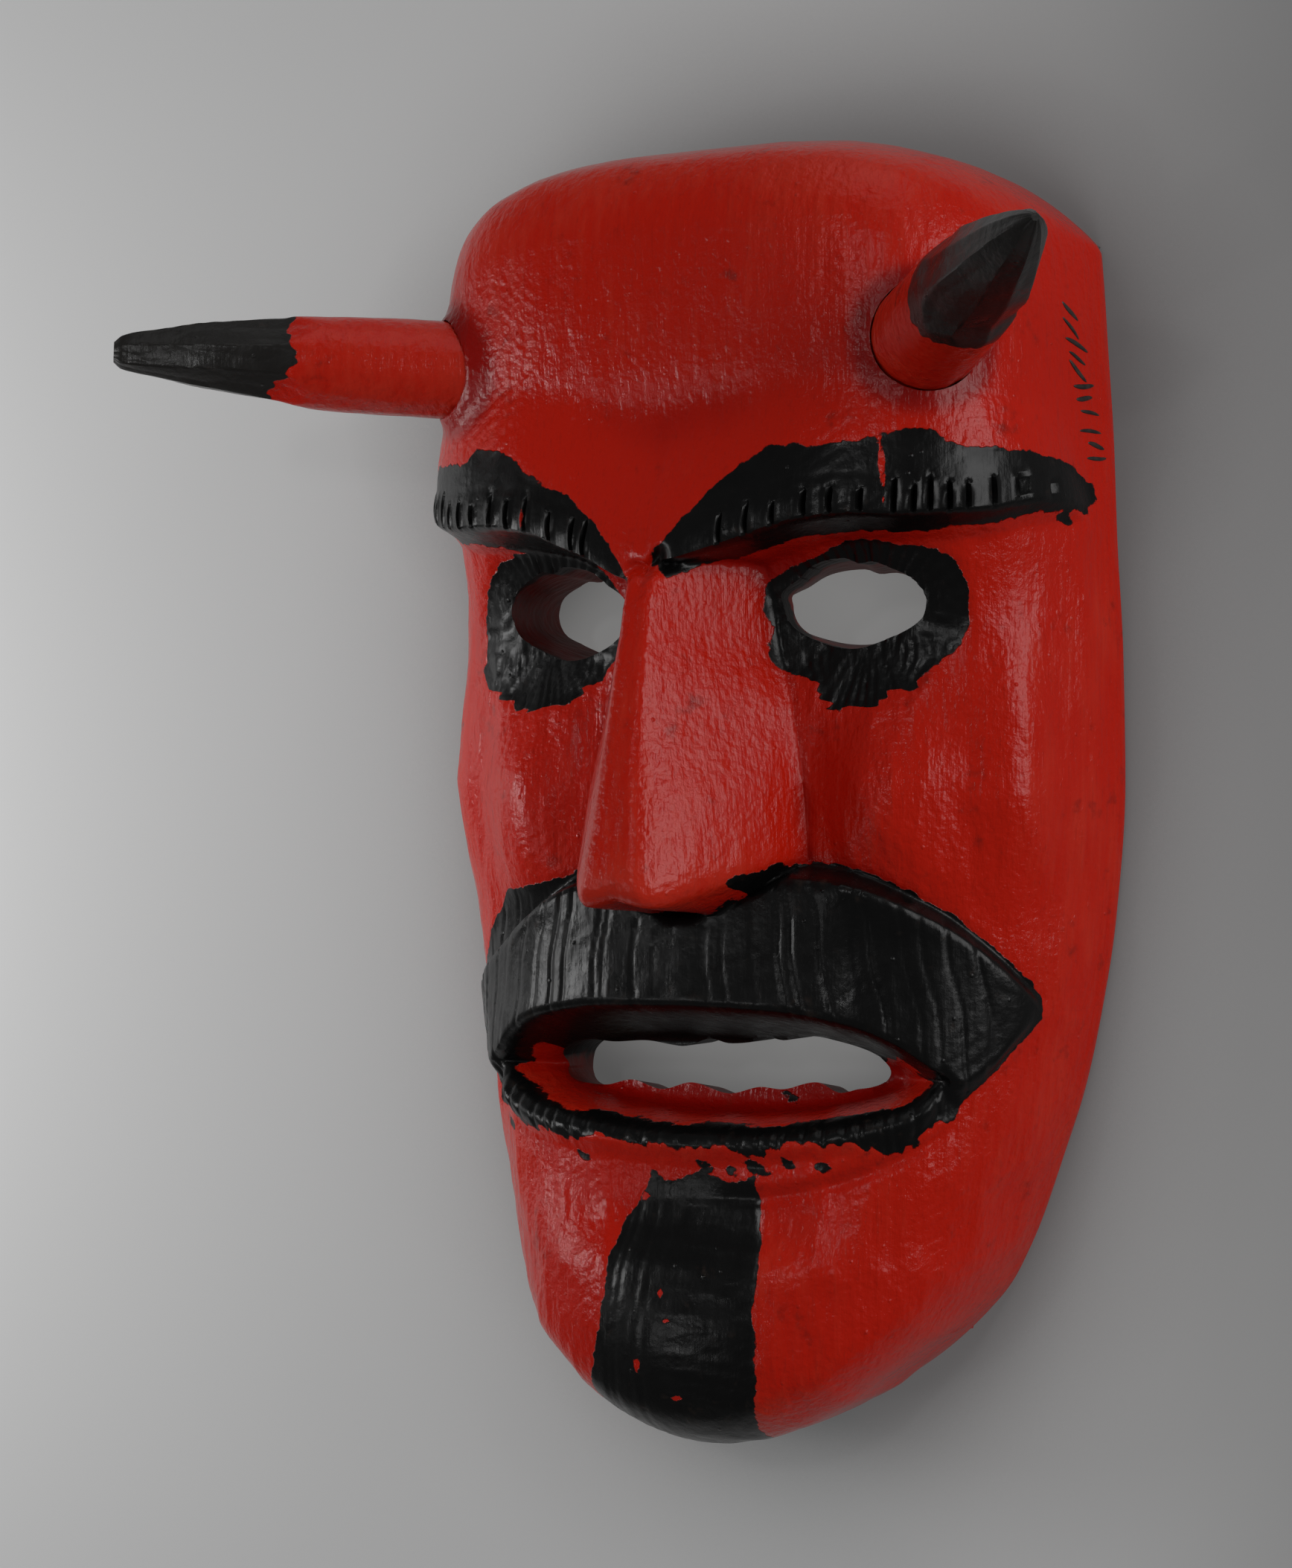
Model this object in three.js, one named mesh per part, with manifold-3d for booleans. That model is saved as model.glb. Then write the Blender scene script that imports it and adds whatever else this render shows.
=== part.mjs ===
// A careto mask: a devil's face carved from one block of wood, with two whittled horns pegged into it.
// Millimetres. The mask lies on its rim, so X runs across the face, Y from chin to crown, Z out of the face.

import * as THREE from 'three';
import { LoftGeometry } from 'three/addons/geometries/LoftGeometry.js';
import { mergeVertices } from 'three/addons/utils/BufferGeometryUtils.js';
import Module from 'manifold-3d';

const wasm = await Module();
wasm.setup();

// The block's form, before the features are cut. Each row is a section across the face: y at the middle,
// depth at the middle, half width at the rim, y at the rim, boxiness of the arch, flare of its sides.
const FORM = [
	[ - 123, 0, 39, - 105.3, 2.5, 4 ], // chin, on the rim
	[ - 124.8, 12, 43.2, - 101, 2.7, 5 ], // under the chin
	[ - 125.6, 33, 48, - 95.3, 3, 6 ],
	[ - 117, 46.5, 53, - 85.8, 3, 8 ], // point of the chin
	[ - 98, 48.5, 58.3, - 71.5, 2.65, 10 ],
	[ - 78, 45, 63, - 57.5, 2.8, 11 ], // hollow under the lip
	[ - 55, 40.5, 66.3, - 43, 3.1, 12 ], // mouth
	[ - 30, 38.5, 69.2, - 25, 3.2, 12 ], // moustache
	[ 0, 38.7, 71, 0, 3.9, 12 ], // cheeks
	[ 28, 38.2, 70.6, 24, 4, 12 ], // eyes
	[ 55, 45.5, 69.4, 46, 4, 12 ], // brows
	[ 80, 52, 68.7, 65, 4.4, 11 ], // forehead
	[ 103, 52.8, 67.6, 81.5, 4.5, 10 ],
	[ 117, 46.5, 66.7, 95, 4.5, 9 ], // crown
	[ 122, 25, 66.1, 100.8, 4.5, 8 ],
	[ 122.5, 0, 65.5, 101.8, 4.5, 8 ], // crown, on the rim
];
const CHIN_POINT = 3; // the rows of FORM between which the middle of the face only rises
const CROWN = 13;

// The hollow at the back, in the same terms, with its depth measured from its own open end.
const HOLLOW = [
	[ - 111, 0, 27, - 94, 2.6, 3 ],
	[ - 111, 16, 30, - 91, 2.6, 4 ],
	[ - 104, 32, 37, - 82, 3, 6 ],
	[ - 84, 37, 48, - 64, 3.4, 9 ],
	[ - 54, 24, 55.5, - 42, 3.8, 11 ], // behind the mouth
	[ - 28, 25, 58.5, - 23, 3.8, 12 ],
	[ 4, 30, 60.3, 4, 3.8, 12 ], // behind the cheeks
	[ 34, 31, 60, 28, 3.8, 12 ],
	[ 62, 38, 59, 50, 3.6, 12 ],
	[ 88, 43, 58, 70, 3.6, 11 ], // behind the forehead
	[ 105, 37, 57, 83, 3.6, 9 ],
	[ 111, 20, 56, 91, 3.4, 8 ],
	[ 111, 0, 55.5, 92, 3.4, 8 ],
];
const HOLLOW_START = - 6; // the cutter begins this far behind the rim
const HOLLOW_STEPS = { up: 22, across: 24 };
const NOSE_HOLLOW = { depth: 15, halfWidth: 22, halfLength: 40, y: - 2 };

// The features fade out on the last stretch of the sides, so that the rim stays plain.
const RIM_FADE = [ 1, 12 ];

// Brows: a crest on each side, measured from the middle, that overhangs the eyes. The left one dips more.
const BROW_CREST_LEFT = curve(
	[ 0, 43 ], [ 6, 44 ], [ 10, 45.6 ], [ 13.6, 47.2 ], [ 20, 48.6 ], [ 27, 51 ], [ 37, 52 ], [ 48, 51.6 ], [ 62, 53 ],
);
const BROW_CREST_RIGHT = curve(
	[ 0, 43 ], [ 3, 46.3 ], [ 8, 47.3 ], [ 17, 49 ], [ 23, 50.4 ], [ 30, 51.6 ], [ 36, 51.8 ], [ 45, 51 ], [ 56, 50.9 ], [ 68, 52.3 ],
);
const BROW_HEIGHT = curve(
	[ 0, 15 ], [ 2.5, 16 ], [ 6, 18 ], [ 12, 16.5 ], [ 20, 13.8 ], [ 30, 11.5 ], [ 50, 7.8 ], [ 62, 5.3 ], [ 75, 3.4 ], [ 88, 0 ],
);
const BROW_DROP = curve( [ 0, 4 ], [ 6, 7 ], [ 12, 8 ], [ 30, 7.5 ], [ 60, 6 ], [ 83, 3.5 ] );
const BROW_BLEND = 24;

// Nose: a narrow flat ridge with straight flanks, by y. Its underside climbs towards the wings, and its tip is round.
const NOSE_HEIGHT = curve( [ - 26, 33 ], [ - 18, 34 ], [ - 8, 32.5 ], [ 14, 28.5 ], [ 34, 26 ], [ 40, 23.5 ], [ 47, 18.5 ] );
const NOSE_HALF_WIDTH = curve( [ - 24, 20 ], [ - 14, 22.5 ], [ - 4, 22 ], [ 14, 19.5 ], [ 28, 16 ], [ 38, 15 ], [ 46, 13 ] );
const RIDGE_HALF_WIDTH = curve( [ - 24, 6 ], [ - 14, 4.2 ], [ 0, 3.3 ], [ 40, 2.6 ] );
const FLANK_BULGE = curve( [ - 24, 1.5 ], [ - 6, 1.4 ], [ 14, 1.1 ], [ 40, 1 ] );
const NOSE_UNDERSIDE = curve( [ 0, - 22.3 ], [ 6, - 23.6 ], [ 14, - 19.8 ], [ 22, - 14 ] );
const NOSE_TOP = 49;
const TIP_ROUNDING = 5;

// Moustache: a raised slab whose tips wrap round the corners of the mouth, by distance from the middle.
const MOUSTACHE_TOP_LEFT = curve( [ 0, - 24 ], [ 12, - 20 ], [ 22, - 17.5 ], [ 36, - 24 ], [ 44.5, - 29.5 ], [ 68.5, - 41.5 ] );
const MOUSTACHE_TOP_RIGHT = curve( [ 0, - 24 ], [ 12, - 20 ], [ 22, - 15.6 ], [ 31, - 16.3 ], [ 46, - 22.8 ], [ 68.5, - 40.5 ] );
const MOUSTACHE_TIP_UNDERSIDE = curve(
	[ 49.5, - 56.5 ], [ 52.5, - 58.5 ], [ 55.3, - 57 ], [ 60.8, - 51.7 ], [ 66, - 46.5 ], [ 70, - 42 ],
);
const MOUSTACHE_HEIGHT = curve( [ 0, 8 ], [ 30, 7 ], [ 45, 4.2 ], [ 57, 2.2 ], [ 70, 1.5 ] );
const MOUSTACHE_REACH = 70;

// Mouth: an almond sunk between the moustache and the lower lip.
const MOUTH_HALF_WIDTH = 49.5;
const MOUTH_UPPER = curve( [ 0, - 41.6 ], [ 18, - 42 ], [ 32, - 44.1 ], [ 40, - 47.3 ], [ 46, - 51.4 ], [ 49.5, - 54 ] );
const MOUTH_LOWER = curve( [ 0, - 65 ], [ 12, - 64.8 ], [ 22, - 64 ], [ 34, - 62.3 ], [ 43, - 59.6 ], [ 49.5, - 55.4 ] );
const MOUTH_DEPTH = 13;
const MOUTH_UPPER_SLOPE = 6.5;
const MOUTH_LOWER_SLOPE = 6;
const LIP = { height: 2.5, below: 2.6, halfWidth: 4.5, reach: 52 };

// The slot through the mouth's floor has wavy knife-cut edges and blunt ends. Its lower wall falls away behind.
const SLOT = { x: - 2, y: - 54, halfWidth: 35.4, bluntness: 10, undercut: 0.16, frontZ: 27, points: 28 };
const SLOT_UPPER = curve(
	[ - 37.5, - 50.6 ], [ - 31, - 49.9 ], [ - 26, - 50.5 ], [ - 18.5, - 50 ], [ - 10.3, - 50.8 ], [ - 3.7, - 49.1 ], [ 0, - 49.9 ],
	[ 4.7, - 49.5 ], [ 8.2, - 48.1 ], [ 12.5, - 48.8 ], [ 15.4, - 48 ], [ 21.2, - 47.5 ], [ 25, - 48.1 ], [ 33.4, - 49.2 ],
);
const SLOT_LOWER = curve(
	[ - 37.5, - 59.5 ], [ - 27.5, - 59.1 ], [ - 21.4, - 57.8 ], [ - 14.3, - 59.4 ], [ - 7.8, - 57.8 ], [ 0.6, - 59.6 ],
	[ 7.7, - 58 ], [ 11.5, - 58.3 ], [ 19.1, - 56.6 ], [ 24.2, - 58.5 ], [ 28, - 57.8 ], [ 33.4, - 58 ],
);

// Eye holes: almonds that open out sideways towards the back and close in a little in height.
const EYES = [
	{ x: - 31, y: 32.8, halfWidth: 13.8, halfHeight: 9.2 },
	{ x: 32, y: 33.3, halfWidth: 13.4, halfHeight: 8.5 },
];
const EYE_OPENING = { inwards: 5, wider: 4, taller: - 1.6 };
const EYE_FRONT_Z = 36;
const EYE_BACK_Z = 22;
const EYE_POINTS = 22;

// Broad soft swellings and hollows: height, place and reach, mirrored on both sides.
const SWELLINGS = [
	{ height: - 2.5, x: 33, y: 33, halfWidth: 24, halfHeight: 20 }, // eye socket
	{ height: 4.5, x: 38.5, y: - 4, halfWidth: 16.5, halfHeight: 25 }, // apple of the cheek
	{ height: 2, x: 63, y: 2, halfWidth: 12, halfHeight: 38 }, // edge of the cheekbone
	{ height: - 2.5, x: 0, y: - 80, halfWidth: 55, halfHeight: 12 }, // under the lip
	{ height: 1.5, x: 0, y: - 105, halfWidth: 34, halfHeight: 22 }, // ball of the chin
];

// The grid that carries the face. Each of its lines, from the chin up, has the steps up to it from the line before.
const ARCHES = 300;
const ARCH_POINTS = 80;
const atRow = ( row ) => ( form ) => form.ways[ row ];
const atY = ( y ) => ( form, across ) => form.wayTo( y( Math.abs( across ), across ), across );
const LINE_GAP = 0.8;
const above = ( line, lower ) => ( side, across ) => Math.max( line( side, across ), lower( side, across ) + LINE_GAP );
const lipLine = curve(
	[ 0, - 65 ], [ 22, - 64 ], [ 43, - 60 ], [ 49, - 60 ], [ 52.5, - 59.5 ], [ 55.3, - 57.5 ], [ 66, - 47 ], [ 100, - 45 ],
);
const slotLowerLine = above( curve( [ 0, - 59 ], [ 30, - 58.2 ], [ 43, - 56 ], [ 49.5, - 54.9 ] ), lipLine );
const slotUpperLine = above( curve( [ 0, - 49 ], [ 30, - 49.6 ], [ 40, - 51.3 ], [ 49.5, - 53.4 ] ), slotLowerLine );
const mouthLine = above( MOUTH_UPPER, slotUpperLine );
const upperEdge = ( side, across ) => {

	return THREE.MathUtils.lerp( NOSE_UNDERSIDE( side ), moustacheTop( across ), rise( side, 17, 23 ) );

};

const slabLine = above( ( side, across ) => upperEdge( side, across ) - 2, mouthLine );
const crestLine = ( side, across ) => ( across < 0 ? BROW_CREST_LEFT( side ) : BROW_CREST_RIGHT( side ) );
const FACE_LINES = [
	[ atRow( 0 ), 0 ],
	[ atRow( CHIN_POINT ), 5 ],
	[ atY( ( side ) => MOUTH_LOWER( side ) - LIP.below - LIP.halfWidth ), 8 ],
	[ atY( lipLine ), 3 ],
	[ atY( slotLowerLine ), 1 ],
	[ atY( slotUpperLine ), 2 ],
	[ atY( mouthLine ), 3 ],
	[ atY( slabLine ), 5 ],
	[ atY( ( side, across ) => upperEdge( side, across ) + 1.4 ), 2 ],
	[ atY( ( side, across ) => crestLine( side, across ) - BROW_DROP( side ) ), 11 ],
	[ atY( crestLine ), 3 ],
	[ atRow( 11 ), 6 ],
	[ atRow( CROWN ), 6 ],
	[ atRow( 15 ), 5 ],
];
const COLUMN_STEPS = [ 1, 7, 8, 6, 5 ];

// Horns: round pegs whittled to a tip with flat facets. Radii are given by distance from the forehead.
const HORN_PEG = 8;
const HORN_GAP = 0.4;
const HORN_POINTS = 16;
const HORN_FACETS = 8;
const HORNS = [
	{
		name: 'horn_left',
		foot: new THREE.Vector3( - 52, 81, 43 ),
		direction: new THREE.Vector3( - 0.78, 0.035, 0.61 ),
		radii: [
			[ - HORN_PEG, 9.4 ], [ 0, 9.6 ], [ 14, 9.4 ], [ 30, 8.8 ], [ 40, 8 ], [ 50, 6.8 ], [ 58, 5.2 ], [ 65, 3.6 ], [ 66.5, 2.2 ],
		],
		facetsFrom: 30,
	},
	{
		name: 'horn_right',
		foot: new THREE.Vector3( 49.5, 81, 43.5 ),
		direction: new THREE.Vector3( 0.643, 0.161, 0.748 ),
		radii: [
			[ - HORN_PEG, 9.8 ], [ 0, 10 ], [ 14, 9.8 ], [ 28, 9.6 ], [ 38, 9.3 ], [ 48, 7.8 ], [ 58, 5.2 ], [ 66, 2 ], [ 68, 0.8 ],
		],
		facetsFrom: 28,
	},
];

// A smooth curve through given points that never overshoots them.
function curve( ...points ) {

	const x = points.map( ( point ) => point[ 0 ] );
	const y = points.map( ( point ) => point[ 1 ] );
	const last = x.length - 1;
	const gap = ( i ) => x[ i + 1 ] - x[ i ];
	const slope = ( i ) => ( y[ i + 1 ] - y[ i ] ) / gap( i );
	const tangent = x.map( ( _, i ) => {

		if ( i === 0 ) return slope( 0 );
		if ( i === last ) return slope( last - 1 );
		if ( slope( i - 1 ) * slope( i ) <= 0 ) return 0;
		const before = 2 * gap( i ) + gap( i - 1 );
		const after = gap( i ) + 2 * gap( i - 1 );
		return ( before + after ) / ( before / slope( i - 1 ) + after / slope( i ) );

	} );

	return ( at ) => {

		const clamped = Math.min( Math.max( at, x[ 0 ] ), x[ last ] );
		let i = 0;
		while ( i < last - 1 && clamped > x[ i + 1 ] ) i ++;
		const t = ( clamped - x[ i ] ) / gap( i );
		const s = 1 - t;
		return ( 1 + 2 * t ) * s * s * y[ i ] + t * s * s * gap( i ) * tangent[ i ]
			+ t * t * ( 3 - 2 * t ) * y[ i + 1 ] - t * t * s * gap( i ) * tangent[ i + 1 ];

	};

}

const clamp = THREE.MathUtils.clamp;
const ease = ( t ) => THREE.MathUtils.smoothstep( t, 0, 1 );
const rise = ( at, from, to ) => THREE.MathUtils.smoothstep( at, from, to );
const bell = ( t ) => ( Math.abs( t ) < 1 ? 0.5 + 0.5 * Math.cos( Math.PI * t ) : 0 );

// A form as a surface. A way runs along its profile from the chin's rim (0) to the crown's rim (1), and a point
// on it is given by its way and by its distance across, from the middle, along the arch of that section.
class Form {

	constructor( rows ) {

		const along = [ 0 ];
		for ( let i = 1; i < rows.length; i ++ ) {

			const step = Math.hypot( rows[ i ][ 0 ] - rows[ i - 1 ][ 0 ], rows[ i ][ 1 ] - rows[ i - 1 ][ 1 ] );
			along.push( along[ i - 1 ] + step );

		}

		this.ways = along.map( ( length ) => length / along[ along.length - 1 ] );
		const values = rows[ 0 ].map( ( _, i ) => curve( ...rows.map( ( row, j ) => [ this.ways[ j ], row[ i ] ] ) ) );
		const archAt = ( way ) => archOf( ...values.map( ( value ) => value( way ) ) );
		this.arches = Array.from( { length: ARCHES + 1 }, ( _, i ) => archAt( i / ARCHES ) );

	}

	// Any value that a function finds on one arch, blended between the two arches beside a way.
	blend( way, find ) {

		const i = Math.min( Math.floor( way * ARCHES ), ARCHES - 1 );
		return THREE.MathUtils.lerp( find( this.arches[ i ] ), find( this.arches[ i + 1 ] ), way * ARCHES - i );

	}

	length( way ) {

		return this.blend( way, ( arch ) => arch.length );

	}

	y( way, across ) {

		const share = Math.abs( across ) / this.length( way );
		return this.blend( way, ( arch ) => onArch( arch, share ).y );

	}

	place( way, across ) {

		const share = Math.abs( across ) / this.length( way );
		const on = ( axis ) => this.blend( way, ( arch ) => onArch( arch, share )[ axis ] );
		return new THREE.Vector3( on( 'x' ) * Math.sign( across ), on( 'y' ), on( 'z' ) );

	}

	// The way at which the surface reaches y, at a distance across.
	wayTo( y, across ) {

		let low = this.ways[ CHIN_POINT ];
		let high = this.ways[ CROWN ];
		for ( let i = 0; i < 16; i ++ ) {

			const middle = ( low + high ) / 2;
			if ( this.y( middle, across ) < y ) low = middle;
			else high = middle;

		}

		return ( low + high ) / 2;

	}

}

// Half of one section's arch, from the middle out to the rim, as points an even distance apart.
function archOf( middleY, depth, halfWidth, rimY, boxiness, flare ) {

	const fine = [];
	let length = 0;
	for ( let i = 0; i <= 160; i ++ ) {

		const angle = Math.PI / 2 * i / 160;
		const reach = ( Math.sin( angle ) ** boxiness + Math.cos( angle ) ** boxiness ) ** ( - 1 / boxiness );
		const x = ( halfWidth - flare ) * Math.sin( angle ) * reach + flare * ( 1 - Math.cos( angle ) * reach );
		const z = depth * Math.cos( angle ) * reach;
		if ( i > 0 ) length += Math.hypot( x - fine[ i - 1 ].x, z - fine[ i - 1 ].z );
		fine.push( { x, z, length } );

	}

	const bendPower = 2 + 1.5 * THREE.MathUtils.clamp( ( middleY - 60 ) / 50, 0, 1 );
	let i = 1;
	const points = Array.from( { length: ARCH_POINTS + 1 }, ( _, k ) => {

		const target = length * k / ARCH_POINTS;
		while ( i < 160 && fine[ i ].length < target ) i ++;
		const t = ( target - fine[ i - 1 ].length ) / ( fine[ i ].length - fine[ i - 1 ].length );
		const x = THREE.MathUtils.lerp( fine[ i - 1 ].x, fine[ i ].x, t );
		const z = k === ARCH_POINTS ? 0 : THREE.MathUtils.lerp( fine[ i - 1 ].z, fine[ i ].z, t );
		return { x, y: middleY + ( rimY - middleY ) * ( x / halfWidth ) ** bendPower, z };

	} );
	return { length, points };

}

function onArch( { points }, share ) {

	const i = Math.min( Math.floor( share * ARCH_POINTS ), ARCH_POINTS - 1 );
	const t = Math.min( share * ARCH_POINTS - i, 1 );
	const [ a, b ] = [ points[ i ], points[ i + 1 ] ];
	return { x: a.x + ( b.x - a.x ) * t, y: a.y + ( b.y - a.y ) * t, z: a.z + ( b.z - a.z ) * t };

}

// Even steps between neighbouring stops, as the number of the lower stop and the share of the way to the next.
function stepsBetween( counts ) {

	const stepsUp = ( count, stop ) => Array.from( { length: count }, ( _, i ) => ( { stop, share: i / count } ) );
	return [ ...counts.flatMap( stepsUp ), { stop: counts.length - 1, share: 1 } ];

}

// The stops of the grid's columns at a place on the face: middle, nose ridge, nose crease, cheek, side, rim.
function columnStops( length, y ) {

	const ridge = Math.min( RIDGE_HALF_WIDTH( y ), 0.06 * length );
	const crease = Math.min( Math.max( NOSE_HALF_WIDTH( y ), 8 + 12 * rise( y, 45, 75 ) ), 0.25 * length );
	return [ 0, ridge, crease, 0.45 * length, 0.66 * length, length ];

}

// The grid over the face. Its rows follow the edges of the carving, and its columns those of the nose.
function faceGrid( form ) {

	const rows = stepsBetween( FACE_LINES.slice( 1 ).map( ( [ , steps ] ) => steps ) );
	const half = stepsBetween( COLUMN_STEPS );
	const onSide = ( steps, side ) => steps.map( ( step ) => ( { ...step, side } ) );
	const columns = [ ...onSide( half.slice( 1 ).reverse(), - 1 ), ...onSide( half, 1 ) ];
	return rows.map( ( row ) => columns.map( ( column ) => {

		let across = column.side * column.stop * 10;
		let way = 0;
		for ( let pass = 0; pass < 5; pass ++ ) {

			const from = FACE_LINES[ row.stop ][ 0 ]( form, across );
			const to = FACE_LINES[ row.stop + 1 ][ 0 ]( form, across );
			way = THREE.MathUtils.lerp( from, to, row.share );
			const stops = columnStops( form.length( way ), form.y( way, across ) );
			across = column.side * THREE.MathUtils.lerp( stops[ column.stop ], stops[ column.stop + 1 ], column.share );

		}

		return { place: form.place( way, across ), across };

	} ) );

}

function evenGrid( form, { up, across } ) {

	return Array.from( { length: up + 1 }, ( _, i ) => Array.from( { length: across + 1 }, ( __, j ) => {

		const way = i / up;
		return { place: form.place( way, form.length( way ) * ( 2 * j / across - 1 ) ) };

	} ) );

}

// The outward direction of a grid of points at one of them.
function outward( grid, row, column ) {

	const across = new THREE.Vector3().subVectors(
		grid[ row ][ Math.min( column + 1, grid[ row ].length - 1 ) ].place,
		grid[ row ][ Math.max( column - 1, 0 ) ].place,
	);
	const up = new THREE.Vector3().subVectors(
		grid[ Math.min( row + 1, grid.length - 1 ) ][ column ].place,
		grid[ Math.max( row - 1, 0 ) ][ column ].place,
	);
	return across.cross( up ).normalize();

}

function browHeight( across, y ) {

	const side = Math.abs( across );
	const crest = crestLine( side, across );
	if ( y >= crest ) {

		const near = clamp( ( crest + BROW_BLEND - y ) / BROW_BLEND, 0, 1 );
		return BROW_HEIGHT( side ) * ( 0.35 * near + 0.65 * ease( near ) );

	}

	return BROW_HEIGHT( side ) * ( 1 - clamp( ( crest - y ) / BROW_DROP( side ), 0, 1 ) ) ** 1.25;

}

function noseHeight( across, y ) {

	const side = Math.abs( across );
	const ridge = RIDGE_HALF_WIDTH( y );
	const down = clamp( ( side - ridge ) / ( NOSE_HALF_WIDTH( y ) - ridge ), 0, 1 );
	const underside = NOSE_UNDERSIDE( side );
	const roundedOff = 1 - clamp( ( y - underside ) / TIP_ROUNDING, 0, 1 );
	const height = NOSE_HEIGHT( y ) - TIP_ROUNDING * ( 1 - Math.sqrt( 1 - roundedOff ** 2 ) );
	return height * ( 1 - down ** FLANK_BULGE( y ) )
		* rise( y, underside - 1.5, underside + 1.5 ) * rise( NOSE_TOP - y, 0, 5 );

}

function moustacheTop( across ) {

	return across < 0 ? MOUSTACHE_TOP_LEFT( - across ) : MOUSTACHE_TOP_RIGHT( across );

}

function moustacheHeight( across, y ) {

	const side = Math.abs( across );
	const underside = side < MOUTH_HALF_WIDTH ? - 56 : MOUSTACHE_TIP_UNDERSIDE( side );
	return MOUSTACHE_HEIGHT( side ) * rise( moustacheTop( across ) - y, - 0.6, 2.2 )
		* rise( y - underside, - 1, 4 ) * rise( MOUSTACHE_REACH - side, 0, 4 );

}

function lipHeight( across, y ) {

	const side = Math.abs( across );
	return LIP.height * bell( ( y - MOUTH_LOWER( side ) + LIP.below ) / LIP.halfWidth ) * rise( LIP.reach - side, 0, 6 );

}

// How far a point is inside the mouth's almond: 0 outside it, 1 on its floor.
function mouthShare( across, y ) {

	const side = Math.abs( across );
	if ( side >= MOUTH_HALF_WIDTH ) return 0;
	const under = ease( ( MOUTH_UPPER( side ) - y ) / MOUTH_UPPER_SLOPE );
	const over = ease( ( y - MOUTH_LOWER( side ) ) / MOUTH_LOWER_SLOPE );
	return Math.min( under, over );

}

// The height of all the carving over the plain form, at a distance across the face and a y.
function relief( across, y ) {

	let height = Math.max( browHeight( across, y ), noseHeight( across, y ), moustacheHeight( across, y ) );
	for ( const swelling of SWELLINGS ) {

		const sideways = bell( ( Math.abs( across ) - swelling.x ) / swelling.halfWidth );
		height += swelling.height * sideways * bell( ( y - swelling.y ) / swelling.halfHeight );

	}

	height += lipHeight( across, y );
	return THREE.MathUtils.lerp( height, - MOUTH_DEPTH, mouthShare( across, y ) );

}

// A solid under a grid of arches, closed flat at its back.
function solidUnder( sections ) {

	return new LoftGeometry( sections, { closed: true, capStart: true, capEnd: true } );

}

function faceGeometry() {

	const grid = faceGrid( new Form( FORM ) );
	return solidUnder( grid.map( ( row, i ) => row.map( ( { place, across }, j ) => {

		const height = relief( across, place.y ) * rise( place.z, ...RIM_FADE );
		return place.clone().addScaledVector( outward( grid, i, j ), height );

	} ) ) );

}

function hollowGeometry() {

	const grid = evenGrid( new Form( HOLLOW ), HOLLOW_STEPS );
	return solidUnder( grid.map( ( row ) => row.map( ( { place } ) => {

		const reach = bell( place.x / NOSE_HOLLOW.halfWidth ) * bell( ( place.y - NOSE_HOLLOW.y ) / NOSE_HOLLOW.halfLength );
		const lift = NOSE_HOLLOW.depth * reach * rise( place.z, ...RIM_FADE );
		return place.clone().add( new THREE.Vector3( 0, 0, HOLLOW_START + lift ) );

	} ) ) );

}

// An eye hole's cutter: an almond in front and a longer, lower one behind, both run on past the wall.
function eyeGeometry( eye ) {

	const almond = ( z ) => {

		const back = ( EYE_FRONT_Z - z ) / ( EYE_FRONT_Z - EYE_BACK_Z );
		const x = eye.x - Math.sign( eye.x ) * EYE_OPENING.inwards * back;
		const halfWidth = eye.halfWidth + EYE_OPENING.wider * Math.max( back, 0 );
		const halfHeight = eye.halfHeight + EYE_OPENING.taller * Math.max( back, 0 );
		return Array.from( { length: EYE_POINTS }, ( _, i ) => {

			const angle = 2 * Math.PI * i / EYE_POINTS;
			return new THREE.Vector3( x + halfWidth * Math.cos( angle ), eye.y + halfHeight * Math.sin( angle ), z );

		} );

	};

	return solidUnder( [ almond( 8 ), almond( EYE_FRONT_Z ), almond( EYE_FRONT_Z + 10 ) ] );

}

// The mouth slot's cutter: its upper edge from right to left, then its lower one back again.
function slotGeometry() {

	const at = ( z ) => {

		const drop = SLOT.undercut * ( SLOT.frontZ - z );
		const edge = ( side, line, shift ) => Array.from( { length: SLOT.points }, ( _, i ) => {

			const share = Math.sin( Math.PI * ( i / SLOT.points - 0.5 ) );
			const x = SLOT.x - side * SLOT.halfWidth * share;
			const end = ( 1 - Math.abs( share ) ** SLOT.bluntness ) ** 0.5;
			return new THREE.Vector3( x, SLOT.y + ( line( x ) - shift - SLOT.y ) * end, z );

		} );
		return [ ...edge( 1, SLOT_UPPER, 0 ), ...edge( - 1, SLOT_LOWER, drop ) ];

	};

	return solidUnder( [ at( - 2 ), at( 66 ) ] );

}

// A horn along +Z, foot at zero: round below, flattened into facets towards the tip.
function hornGeometry( { radii, facetsFrom }, wider = 0 ) {

	const facet = 2 * Math.PI / HORN_FACETS;
	return solidUnder( radii.map( ( [ z, radius ] ) => Array.from( { length: HORN_POINTS }, ( _, i ) => {

		const angle = 2 * Math.PI * i / HORN_POINTS;
		const flat = Math.cos( facet / 2 ) / Math.cos( angle % facet - facet / 2 );
		const share = rise( z, facetsFrom - 8, facetsFrom + 8 );
		const reach = ( radius + wider ) * THREE.MathUtils.lerp( 1, flat, share );
		return new THREE.Vector3( reach * Math.cos( angle ), reach * Math.sin( angle ), z - wider * ( z < 0 ? 1 : 0 ) );

	} ) ) );

}

function placeHorn( object, { foot, direction } ) {

	object.position.copy( foot );
	object.quaternion.setFromUnitVectors( new THREE.Vector3( 0, 0, 1 ), direction.clone().normalize() );
	object.updateMatrix();
	return object;

}

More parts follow.
